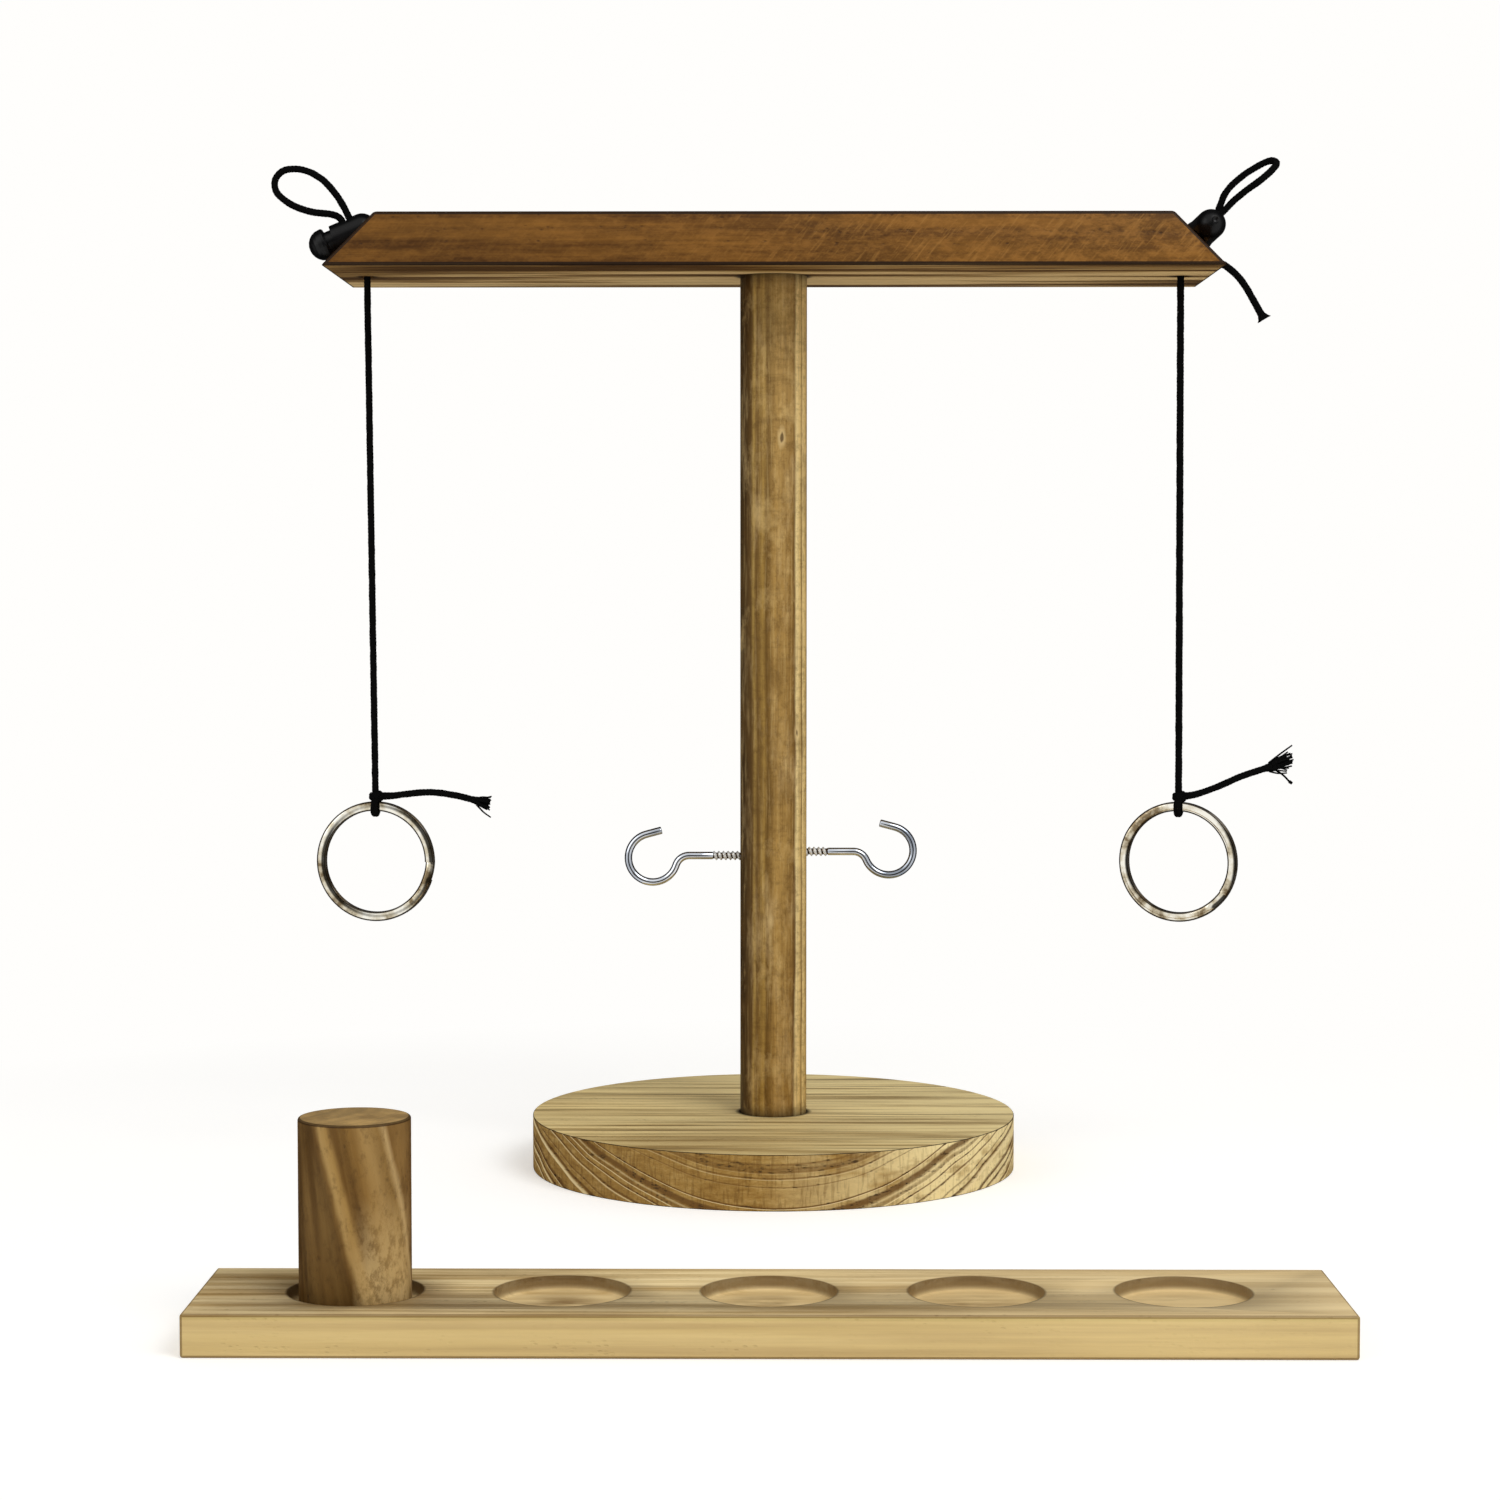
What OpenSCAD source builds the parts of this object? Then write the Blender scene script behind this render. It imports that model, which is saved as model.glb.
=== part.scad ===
// Tabletop hook and ring toss game for two players.
// A wooden T-shaped stand carries a ring on a cord at each end of its beam and a screw hook on each
// side of its post. A separate five-place ladder board holds the round marker peg.
// Millimetres. The origin is the centre of the base disc's underside, +X runs along the beam to the
// right as seen from the front, and the front is -Y.

/* [Base disc] */
// Diameter of the base disc
disc_d = 150; // [130:1:180]
// Thickness of the base disc
disc_t = 16.5; // [14:0.5:20]
// Rounding of the disc's edges
disc_edge_r = 1.2; // [0.5:0.1:2]
// Depth of the post's socket in the disc
disc_socket = 11; // [7:0.5:11]

/* [Post] */
// Diameter of the post
post_d = 20.6; // [17:0.2:25]
// Depth of the post's socket in the beam
beam_socket = 9; // [6:0.5:11]
// Radial gap between the post and its sockets
post_gap = 0.1; // [0.02:0.02:0.3]

/* [Crossbeam] */
// Length of the beam along its underside
beam_len = 270; // [225:1:325]
// Depth of the beam from front to back
beam_w = 70; // [58:1:84]
// Thickness of the beam
beam_t = 16; // [13:0.5:20]
// Height of the beam's underside above the floor
beam_z = 276; // [240:1:330]
// Distance from the beam's end to the cord hole
hole_inset = 9.5; // [9:0.5:12]
// Diameter of the cord holes
cord_hole_d = 4.6; // [4:0.1:5]

/* [Base screw] */
// Length of the screw that holds the post on the disc
screw_len = 32; // [25:1:45]
// Diameter over the screw's thread
screw_d = 4.2; // [3.5:0.1:5]
// Diameter of the screw's flat head
screw_head_d = 8.4; // [7.5:0.1:10]

/* [Hooks] */
// Height of the left hook's shank above the floor
left_hook_z = 96.8; // [80:0.1:120]
// Height of the right hook's shank above the floor
right_hook_z = 98.1; // [80:0.1:120]
// Diameter of the hook wire
hook_wire_d = 2.35; // [2:0.05:2.8]
// Centreline radius of the hook's curl
curl_r = 7.6; // [6.5:0.1:9]
// Centreline radius of the bend behind the curl
neck_r = 4.3; // [3.6:0.1:4.8]
// Distance from the post's surface to the centre of the left curl
left_curl_out = 27.3; // [24:0.1:33]
// Distance from the post's surface to the centre of the right curl
right_curl_out = 25.6; // [24:0.1:33]
// Height of the left curl's centre above the left shank
left_curl_rise = -0.7; // [-1.5:0.1:1.5]
// Height of the right curl's centre above the right shank
right_curl_rise = 0.3; // [-1.5:0.1:1.5]
// Length of the straight tip
hook_tip = 4.9; // [3:0.1:6]
// Length of thread that shows outside the post on the left
left_thread_out = 8.7; // [5:0.1:9]
// Length of thread that shows outside the post on the right
right_thread_out = 7; // [5:0.1:9]
// Length of thread inside the post
thread_in = 7; // [5:0.5:8]
// Diameter over the hook's thread
thread_d = 2.9; // [2.6:0.05:3.2]
// Pitch of the hook's thread
thread_pitch = 1.45; // [1.2:0.05:1.8]

/* [Rings] */
// Outer diameter of the rings
ring_d = 37.4; // [32:0.2:45]
// Width of the ring's flat wire across the ring
band_w = 2.9; // [2.4:0.1:3.2]
// Thickness of the ring's flat wire
band_t = 1.2; // [1:0.05:1.5]
// Distance between the middles of the two turns of a ring
turn_step = 1.3; // [1.3:0.05:1.7]
// Distance from the beam's underside to the top of the ring wire's middle
cord_drop = 163.8; // [140:0.1:200]
// Turn of the left ring about its cord, from facing the front
left_ring_turn = -7; // [-30:0.5:30]
// Turn of the right ring about its cord, from facing the front
right_ring_turn = -21.5; // [-30:0.5:30]

/* [Cord] */
// Diameter of the cord
cord_d = 2.2; // [2:0.1:2.4]

/* [Cord locks] */
// Diameter of the lock's barrel
lock_d = 9.2; // [8.6:0.1:10]
// Bore of the barrel for the plunger
lock_bore = 7; // [6.8:0.1:7.4]
// Radial running gap of the plunger in the barrel
plunger_gap = 0.08; // [0.04:0.01:0.1]
// Diameter of the cross hole for the two strands
strand_hole = 5.2; // [5:0.1:5.4]
// Diameter of the button on the plunger
button_d = 9.7; // [9:0.1:11]
// Height of the button, from its underside to the top of its dome
button_t = 5.9; // [3.5:0.1:6.5]
// Travel of the button when it is pressed
button_travel = 2; // [1.5:0.1:2]
// Diameter of the spring's wire
spring_wire = 0.45; // [0.35:0.05:0.55]

/* [Ladder board] */
// Length of the ladder board
board_len = 276; // [245:1:335]
// Width of the ladder board
board_w = 50; // [42:1:60]
// Thickness of the ladder board
board_t = 10.5; // [9:0.5:13]
// Distance from the post's axis to the front face of the board
board_front = 247; // [210:1:270]
// Diameter of the round recesses
recess_d = 33; // [30:0.5:40]
// Depth of the round recesses
recess_depth = 3.6; // [3:0.1:5]
// Distance from one recess to the next
recess_pitch = 50; // [44:0.5:58]

/* [Marker peg] */
// Diameter of the marker peg
peg_d = 27.2; // [23:0.1:29]
// Height of the marker peg
peg_h = 46; // [38:1:56]
// Chamfer on the peg's edges
peg_chamfer = 0.5; // [0.3:0.1:1]

/* [Hidden] */

$fn = 96;
cut = 1;                // overrun of a cut past a face
seat_gap = 0.3;         // gap between pieces that move past each other
eps = 0.01;             // overlap of two pieces of one solid
wood_dark = [0.40, 0.24, 0.11];
wood_mid = [0.52, 0.38, 0.20];
wood_light = [0.72, 0.58, 0.38];
steel = [0.70, 0.72, 0.75];
nickel = [0.72, 0.70, 0.66];
black = [0.06, 0.06, 0.06];

post_r = post_d / 2;
post_bottom = disc_t - disc_socket;
post_top = beam_z + beam_socket;
hole_x = beam_len / 2 - hole_inset;
cord_r = cord_d / 2;
wire_z = beam_z - cord_drop;            // middle of the ring wire at the top of the ring
wire_ring_r = (ring_d - band_w) / 2;    // centreline radius of the ring wire
left_ring_x = -hole_x + 1.5;
right_ring_x = hole_x + 0.5;
board_x = -1;
seat_z = board_t - recess_depth;        // floor of a recess
places = 5;

// The left cord lock leans on the strands in the plane of the beam, the right one faces the front
mouth_z = beam_z + hole_inset;          // where the hole's axis meets the beam's sloping end
left_lock = [-hole_x - 4.8, 0, mouth_z + 4];
left_lock_turn = -113;
right_lock = [hole_x + 8, 0, mouth_z + 5.4];
right_lock_lean = 14.75;

// Middle points of the cord above the beam, along X, Y and Z from the upper mouth of the cord hole
cord_end = [0, 0, 1.4 - hole_inset];    // in the hole, just above the hanging cord
left_top_route = concat([cord_end], [
    [-0.1, 0, -5], [-0.7, 0, -2.3], [-2, 0, 0.3], [-3.74, 0, 4.45], [-5.54, 0, 8.7], [-7.4, 0, 12.4],
    [-9.1, 0, 15.2], [-11.4, 0, 18.1], [-14.3, 0, 20.8], [-18.6, 0, 23], [-23, 0, 23.6],
    [-26.3, 0, 22.7], [-28.2, 0, 20.3], [-28.2, 0, 17.3], [-26, 0, 14.5], [-21.9, 0, 12],
    [-16.8, 0, 10.4], [-13.7, 0, 10], [-11.08, 0, 9.73], [-8.84, 0, 8.92], [-7.35, 0, 7.06],
    [-5.86, 0, 3.55], [-4.06, 0, -0.68], [-3.85, 0, -1.2]
]);
right_top_route = concat([cord_end], [
    [0.4, 0, -4.8], [1.2, -0.3, -1.2], [2.8, -0.3, 0.6], [4.7, 0, 2.1], [7.8, 1.1, 5.2],
    [10.9, 2.2, 8.3], [12.4, 3.4, 12.4], [14.5, 4.5, 17], [18.7, 5, 21.2], [23.5, 4.6, 24.4],
    [27.5, 2.6, 26.1], [29.1, -0.4, 25.1], [27.3, -3.4, 22.6], [23.7, -3.6, 19.4], [19.5, -1.8, 16.4],
    [15.7, 0.3, 13.2], [13.3, 0.8, 10.7], [11.3, 0.1, 8.7], [8.2, -1.1, 5.6], [6.5, -1.7, 3.9],
    [5.5, -2.2, 2.2], [5.2, -2.7, 0.2], [5.9, -2.9, -1.8], [8.6, -2.8, -4.1], [13.5, -2.3, -6.6],
    [17.1, -2, -9.5], [19.5, -2, -12.6], [21.8, -2, -16.4], [24.1, -2, -20.5], [25.5, -2, -22.9]
]);
left_end_flare = 1.2;   // swelling of the melted cord end, times the cord's radius
right_end_flare = 1.8;

// Middle points of the short tails at the rings, from the middle of the ring wire at its top
left_tail_route = [
    [1.2, 0, 3], [5.2, 0, 3.2], [9.2, 0, 3.7], [17.2, 0, 4.3], [25.1, 0, 3.3], [32.2, 0, 1.5],
    [36.6, 0, 0.5]
];
right_tail_route = [
    [1.2, 0, 3], [5, 0, 3.7], [11.7, 0, 6], [19.5, 0, 9.4], [28.2, 0, 12.4], [36.6, 0, 14.6]
];

// The hanging cord: a short neck turns about Y at the hole, and the long drop turns about X below it
neck_len = 5.5;
neck_pivot_z = beam_z;
drop_pivot_z = beam_z - neck_len;
knot_top = 4.6;         // top of the knot above the ring wire's middle
cord_in_knot = 0.4;
drop_steps = 9;

// Sweep of a round tube along points, carrying its side vector from ring to ring
side_hint = [0.3, 1, 0.05];
function unit(v) = v / norm(v);
function tangent(p, i) = unit(p[min(i + 1, len(p) - 1)] - p[max(i - 1, 0)]);
function carried(a, t) = unit(a - (a * t) * t);
function sides(p, a, i = 0) =
    let (n = carried(a, tangent(p, i)))
    i == len(p) - 1 ? [n] : concat([n], sides(p, n, i + 1));
module tube(p, radii, n = 8) {
    side = sides(p, side_hint);
    points = [for (i = [0:len(p) - 1], k = [0:n - 1])
        let (up = cross(tangent(p, i), side[i]), a = 360 * k / n)
        p[i] + radii[i] * (cos(a) * side[i] + sin(a) * up)];
    walls = [for (i = [0:len(p) - 2], k = [0:n - 1])
        let (a = i * n + k, b = i * n + (k + 1) % n)
        each [[a, b + n, b], [a, a + n, b + n]]];
    ends = [for (k = [1:n - 2]) each
        [[0, k, k + 1], let (e = (len(p) - 1) * n) [e, e + k + 1, e + k]]];
    polyhedron(points, concat(walls, ends));
}
function even(p, r) = [for (q = p) r];
function flared(p, r, f) = [for (i = [0:len(p) - 1]) i == len(p) - 1 ? r * f : r];

// A hanging cord with a ball end around its pivot, so that it turns clear of what is above it
ball_steps = [60, 30, 0];
function hanging_points(pivot, foot, steps) = concat(
    [for (a = ball_steps) pivot + [0, 0, cord_r * sin(a)]],
    [for (i = [1:steps]) pivot + (foot - pivot) * i / steps]);
function hanging_radii(steps) = concat([for (a = ball_steps) cord_r * cos(a)], [for (i = [1:steps]) cord_r]);

module base_disc() {
    color(wood_light) difference() {
        rotate_extrude() polygon(concat(
            [[0, 0]],
            [for (a = [-90:18:0]) [disc_d / 2 - disc_edge_r + disc_edge_r * cos(a),
                disc_edge_r + disc_edge_r * sin(a)]],
            [for (a = [0:18:90]) [disc_d / 2 - disc_edge_r + disc_edge_r * cos(a),
                disc_t - disc_edge_r + disc_edge_r * sin(a)]],
            [[0, disc_t]]));
        translate([0, 0, post_bottom]) cylinder(r = post_r + post_gap, h = disc_socket + cut);
        translate([0, 0, -cut]) cylinder(d = screw_d + 2 * screw_fit, h = disc_t);
        screw_head_space();
    }
}

// The flat head and its cone, grown by the fit, that the disc is countersunk for
screw_fit = 0.15;
screw_sink = 0.4;       // depth of the flat head below the disc's underside
head_cone = (screw_head_d - screw_d) / 2;
module screw_head_space() {
    translate([0, 0, -cut]) cylinder(d = screw_head_d + 2 * screw_fit, h = cut + screw_sink);
    translate([0, 0, screw_sink])
        cylinder(d1 = screw_head_d + 2 * screw_fit, d2 = screw_d + 2 * screw_fit, h = head_cone);
}

function thread_turns(length, pitch) = floor((length - 2 * pitch) / pitch);
function thread_profile(length, pitch, root_r, crest_r) =
    let (turns = thread_turns(length, pitch), point = length - turns * pitch)
    concat([[0, 0]],
        [for (i = [0:turns - 1]) each [[root_r, point + i * pitch], [crest_r, point + (i + 0.5) * pitch]]],
        [[root_r, length], [0, length]]);

screw_root = 0.72;      // core of the base screw, as a share of its thread diameter
screw_pitch = 2;
cross_w = 1;            // width, length and depth of the cross recess in the head
cross_len = 4.4;
cross_depth = 1.4;
module base_screw() {
    shank_z = screw_sink + head_cone;
    color(steel) difference() {
        union() {
            translate([0, 0, screw_sink])
                cylinder(d1 = screw_head_d, d2 = screw_d * screw_root, h = head_cone);
            translate([0, 0, shank_z - eps])
                cylinder(d = screw_d * screw_root, h = post_bottom - shank_z + 2 * eps);
            translate([0, 0, screw_sink + screw_len]) mirror([0, 0, 1]) rotate_extrude()
                polygon(thread_profile(screw_sink + screw_len - post_bottom, screw_pitch,
                    screw_d * screw_root / 2, screw_d / 2));
        }
        for (turn = [0, 90]) rotate([0, 0, turn])
            translate([-cross_len / 2, -cross_w / 2, screw_sink - cut])
                cube([cross_len, cross_w, cross_depth + cut]);
    }
}

thread_fit = 0.05;
pilot_extra = 0.4;      // depth of a pilot bore beyond the screw's point
module hook_pilot(z, turn) {
    translate([0, 0, z]) rotate([0, 0, turn]) rotate([0, 90, 0])
        translate([0, 0, post_r - thread_in - pilot_extra])
            cylinder(d = thread_d + 2 * thread_fit, h = thread_in + pilot_extra + cut);
}
module post() {
    color(wood_mid) difference() {
        translate([0, 0, post_bottom]) cylinder(r = post_r, h = post_top - post_bottom);
        translate([0, 0, post_bottom - cut]) cylinder(d = screw_d + 2 * thread_fit,
            h = screw_sink + screw_len - post_bottom + cut + pilot_extra);
        hook_pilot(left_hook_z, 180);
        hook_pilot(right_hook_z, 0);
    }
}

module crossbeam() {
    half = beam_len / 2;
    color(wood_dark) difference() {
        translate([0, beam_w / 2, beam_z]) rotate([90, 0, 0]) linear_extrude(beam_w)
            polygon([[-half, 0], [half, 0], [half - beam_t, beam_t], [beam_t - half, beam_t]]);
        translate([0, 0, beam_z - cut]) cylinder(r = post_r + post_gap, h = beam_socket + cut);
        for (x = [-hole_x, hole_x]) translate([x, 0, beam_z - cut])
            cylinder(d = cord_hole_d, h = beam_t + 2 * cut);
    }
}

// A screw hook along +X from the post's axis, with its shank at z = 0 and its curl in the XZ plane
tip_at = 75;            // where the curl ends and the straight tip begins
thread_root = 0.72;     // core of the hook's thread, as a share of its thread diameter
bend_steps = 8;
curl_steps = 24;
wire_in_thread = 0.3;
wire_sides = 16;
function on_arc(centre, r, a) = [centre[0] + r * cos(a), 0, centre[1] + r * sin(a)];
function wire_points(start, bend, curl, join_at) =
    let (curl_from = 180 + join_at, curl_to = 360 + tip_at, tip = on_arc(curl, curl_r, tip_at))
    concat([[start, 0, 0]],
        [for (k = [0:bend_steps]) on_arc(bend, neck_r, 90 + (join_at - 90) * k / bend_steps)],
        [for (k = [1:curl_steps]) on_arc(curl, curl_r, curl_from + (curl_to - curl_from) * k / curl_steps)],
        [tip + hook_tip * [-sin(tip_at), 0, cos(tip_at)]]);
module screw_hook(curl_out, curl_rise, thread_out) {
    curl_x = post_r + curl_out;
    span = curl_r + neck_r;
    bend_x = curl_x - sqrt(pow(span, 2) - pow(curl_rise + neck_r, 2));
    join_at = atan2(curl_rise + neck_r, curl_x - bend_x);
    wire = wire_points(post_r + thread_out - wire_in_thread, [bend_x, -neck_r], [curl_x, curl_rise], join_at);
    color(steel) {
        translate([post_r - thread_in, 0, 0]) rotate([0, 90, 0]) rotate_extrude() polygon(
            thread_profile(thread_in + thread_out, thread_pitch, thread_d * thread_root / 2, thread_d / 2));
        tube(wire, even(wire, hook_wire_d / 2), wire_sides);
    }
}
module left_hook() {
    translate([0, 0, left_hook_z]) rotate([0, 0, 180])
        screw_hook(left_curl_out, left_curl_rise, left_thread_out);
}
module right_hook() {
    translate([0, 0, right_hook_z]) screw_hook(right_curl_out, right_curl_rise, right_thread_out);
}

// A split ring: one flat wire wound twice, which steps from the front turn to the back one
step_deg = 18;          // arc of the step
turn_steps = 25;
band_chamfer = 0.35;
right_split = -33;      // direction of the right ring's split
turn_deg = (360 - step_deg) / turn_steps;
function ring_path() = concat(
    [for (i = [0:turn_steps]) [i * turn_deg, -turn_step / 2]],
    [for (s = [1:3]) [360 - step_deg + step_deg * s / 4, turn_step * (s / 4 - 0.5)]],
    [for (i = [0:turn_steps]) [360 + i * turn_deg, turn_step / 2]]);
function band_section() =
    let (w = band_w / 2, t = band_t / 2, c = band_chamfer)
    [[-w, -t + c], [-w + c, -t], [w - c, -t], [w, -t + c], [w, t - c], [w - c, t], [-w + c, t], [-w, t - c]];
module split_ring(x, split_at, turn) {
    path = ring_path();
    section = band_section();
    n = len(section);
    last = len(path) - 1;
    points = [for (q = path, s = section)
        let (r = wire_ring_r + s[0], a = q[0] + split_at)
        [r * cos(a), q[1] + s[1], r * sin(a)]];
    walls = [for (i = [0:last - 1], k = [0:n - 1])
        let (a = i * n + k, b = i * n + (k + 1) % n)
        each [[a, b + n, b], [a, a + n, b + n]]];
    ends = [for (k = [1:n - 2]) each [[0, k, k + 1], [last * n, last * n + k + 1, last * n + k]]];
    color(nickel) translate([x, 0, wire_z - wire_ring_r]) rotate([0, 0, turn])
        polyhedron(points, concat(walls, ends));
}
module left_ring() { split_ring(left_ring_x, 0, left_ring_turn); }
module right_ring() { split_ring(right_ring_x, right_split, right_ring_turn); }

// The knot: two turns of cord round the ring wire and the tied lump above them
knot_bore = 1.88;
knot_strand = 0.8;      // radius of the drawn-tight cord
knot_sink = 0.05;       // depth that the bore flattens each turn by
turn_off = 0.7;         // distance of each turn from the knot's middle
lump_r = 2;
lump_off = 0.3;
module ring_knot(x, turn) {
    color(black) translate([x, 0, wire_z]) rotate([0, 0, turn]) difference() {
        union() {
            for (side = [-1, 1]) translate([side * turn_off, 0, 0]) rotate([0, 90, 0]) rotate_extrude()
                translate([knot_bore + knot_strand - knot_sink, 0]) circle(r = knot_strand, $fn = 24);
            translate([lump_off, 0, knot_top - lump_r]) sphere(r = lump_r, $fn = 32);
        }
        rotate([0, 90, 0]) cylinder(r = knot_bore, h = 8 * knot_strand, center = true);
    }
}
module left_ring_knot() { ring_knot(left_ring_x, left_ring_turn); }
module right_ring_knot() { ring_knot(right_ring_x, right_ring_turn); }

module cord_neck(side) {
    pivot = [side * hole_x, 0, neck_pivot_z];
    foot = [side * hole_x, 0, drop_pivot_z + cord_r + seat_gap];
    color(black) tube(hanging_points(pivot, foot, 1), hanging_radii(1));
}
module left_cord_neck() { cord_neck(-1); }
module right_cord_neck() { cord_neck(1); }

module cord_drop_at(side, ring_x) {
    pivot = [side * hole_x, 0, drop_pivot_z];
    foot = [ring_x, 0, wire_z + knot_top - cord_in_knot];
    color(black) tube(hanging_points(pivot, foot, drop_steps), hanging_radii(drop_steps));
}
module left_cord_drop() { cord_drop_at(-1, left_ring_x); }
module right_cord_drop() { cord_drop_at(1, right_ring_x); }

module ring_tail(x, route) {
    color(black) translate([x, 0, wire_z]) tube(route, even(route, cord_r));
}
module left_ring_tail() { ring_tail(left_ring_x, left_tail_route); }
module right_ring_tail() { ring_tail(right_ring_x, right_tail_route); }

module top_cord(side, route, end_flare) {
    color(black) translate([side * hole_x, 0, mouth_z]) tube(route, flared(route, cord_r, end_flare));
}
module left_top_cord() { top_cord(-1, left_top_route, left_end_flare); }
module right_top_cord() { top_cord(1, right_top_route, right_end_flare); }

// A cord lock along its own Z: the button is up, the closed end is down, the strands run along X
dome_z = -3.6;          // centre of the closed end's dome
plunger_pocket = 5.4;   // depth of the plunger's bore below the strands
spring_pocket = 6.9;    // depth of the spring's bore below the strands
spring_pocket_d = 4.6;
barrel_top = 5.6;
window_low = 0.25;      // centre of the lower round of the plunger's window
window_rise = 2.2;      // distance from the lower round to the upper one
plunger_foot = 3.3;     // depth of the plunger's lower end below the strands
button_gap = 0.4;       // gap left under the button when it is pressed
button_low = barrel_top + button_travel + button_gap;
button_band = 1.2;      // height of the straight band below the button's dome
dimple_r = 1.6;
dimple_out = 0.6;       // share of the dimple's radius that its centre lies outside the dome
module place_left_lock() { translate(left_lock) rotate([0, left_lock_turn, 0]) children(); }
module place_right_lock() {
    translate(right_lock) rotate([0, -45, 0]) rotate([-90, 0, 0]) rotate([0, -right_lock_lean, 0]) children();
}
module lock_barrel() {
    color(black) difference() {
        union() {
            translate([0, 0, dome_z]) cylinder(d = lock_d, h = barrel_top - dome_z);
            translate([0, 0, dome_z]) sphere(d = lock_d);
        }
        translate([0, 0, -plunger_pocket]) cylinder(d = lock_bore, h = plunger_pocket + barrel_top + cut);
        translate([0, 0, -spring_pocket]) cylinder(d = spring_pocket_d, h = spring_pocket);
        rotate([0, 90, 0]) cylinder(d = strand_hole, h = 2 * lock_d, center = true);
        translate([0, 0, dome_z - lock_d / 2 - dimple_out * dimple_r]) sphere(r = dimple_r);
    }
}
module lock_plunger() {
    stem_r = lock_bore / 2 - plunger_gap;
    color(black) difference() {
        union() {
            translate([0, 0, -plunger_foot]) cylinder(r = stem_r, h = plunger_foot + button_low + eps);
            translate([0, 0, button_low]) rotate_extrude() polygon(concat(
                [[0, 0], [button_d / 2 - 0.4, 0], [button_d / 2, 0.4]],
                [for (a = [0:15:90])
                    [button_d / 2 * cos(a), button_band + (button_t - button_band) * sin(a)]]));
        }
        for (z = [window_low, window_low + window_rise]) translate([0, 0, z]) rotate([0, 90, 0])
            cylinder(d = strand_hole, h = 2 * lock_d, center = true);
        translate([-lock_d, -strand_hole / 2, window_low]) cube([2 * lock_d, strand_hole, window_rise]);
    }
}
spring_turns = 3;
spring_ring_r = 1.8;
spring_steps = 8;       // rings for each turn of the spring
spring_gap = 0.03;
module lock_spring() {
    low = -spring_pocket + spring_wire / 2 + spring_gap;
    high = -plunger_foot - spring_wire / 2 - spring_gap;
    count = spring_turns * spring_steps;
    route = [for (i = [0:count]) let (a = 360 * i / spring_steps)
        [spring_ring_r * cos(a), spring_ring_r * sin(a), low + (high - low) * i / count]];
    color(steel) tube(route, even(route, spring_wire / 2), 6);
}
module left_lock_barrel() { place_left_lock() lock_barrel(); }
module right_lock_barrel() { place_right_lock() lock_barrel(); }
module left_lock_plunger() { place_left_lock() lock_plunger(); }
module right_lock_plunger() { place_right_lock() lock_plunger(); }
module left_lock_spring() { place_left_lock() lock_spring(); }
module right_lock_spring() { place_right_lock() lock_spring(); }

function place_x(i) = board_x + (i - (places - 1) / 2) * recess_pitch;
board_mid_y = -board_front + board_w / 2;
module ladder_board() {
    color(wood_light) difference() {
        translate([board_x - board_len / 2, -board_front, 0]) cube([board_len, board_w, board_t]);
        for (i = [0:places - 1]) translate([place_x(i), board_mid_y, seat_z])
            cylinder(d = recess_d, h = recess_depth + cut);
    }
}

module marker_peg() {
    r = peg_d / 2;
    c = peg_chamfer;
    color(wood_mid) translate([place_x(0), board_mid_y, seat_z]) rotate_extrude()
        polygon([[0, 0], [r - c, 0], [r, c], [r, peg_h - c], [r - c, peg_h], [0, peg_h]]);
}

base_disc();
post();
crossbeam();
base_screw();
left_hook();
right_hook();
left_ring();
right_ring();
left_cord_neck();
right_cord_neck();
left_cord_drop();
right_cord_drop();
left_ring_knot();
right_ring_knot();
left_ring_tail();
right_ring_tail();
left_top_cord();
right_top_cord();
left_lock_barrel();
right_lock_barrel();
left_lock_plunger();
right_lock_plunger();
left_lock_spring();
right_lock_spring();
ladder_board();
marker_peg();
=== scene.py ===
import math
import random

import bmesh
import bpy
from mathutils import Matrix, Vector, noise as lumps
from mathutils.geometry import interpolate_bezier


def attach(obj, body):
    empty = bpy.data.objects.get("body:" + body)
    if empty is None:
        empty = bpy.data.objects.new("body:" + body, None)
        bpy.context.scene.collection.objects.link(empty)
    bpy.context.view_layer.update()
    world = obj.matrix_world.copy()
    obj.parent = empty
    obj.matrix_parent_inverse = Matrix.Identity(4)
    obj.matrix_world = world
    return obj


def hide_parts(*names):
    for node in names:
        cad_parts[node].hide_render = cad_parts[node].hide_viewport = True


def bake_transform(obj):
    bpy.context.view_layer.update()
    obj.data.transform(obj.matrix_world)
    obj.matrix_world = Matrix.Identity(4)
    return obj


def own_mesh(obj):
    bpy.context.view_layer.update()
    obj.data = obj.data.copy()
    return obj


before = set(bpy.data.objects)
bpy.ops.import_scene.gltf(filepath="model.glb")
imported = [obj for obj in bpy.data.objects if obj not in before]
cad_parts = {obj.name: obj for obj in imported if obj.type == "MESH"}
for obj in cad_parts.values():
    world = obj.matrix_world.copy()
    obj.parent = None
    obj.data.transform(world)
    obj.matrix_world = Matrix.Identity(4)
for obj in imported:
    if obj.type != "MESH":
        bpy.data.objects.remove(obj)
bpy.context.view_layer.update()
scene = bpy.context.scene
scene.view_settings.view_transform = "Standard"

# The camera: a short telephoto view from the player's side, a little above the middle of the stand.
# It looks slightly down and slightly to the left of the post.
camera_data = bpy.data.cameras.new("camera")
camera_data.sensor_width = 36
camera_data.lens = 74.4
camera_data.clip_start = 0.05
camera = bpy.data.objects.new("camera", camera_data)
camera.location = (0, -0.963, 0.1802)
camera.rotation_euler = (math.radians(90 - 3.0), 0, math.radians(0.434))
scene.collection.objects.link(camera)
scene.camera = camera

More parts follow.
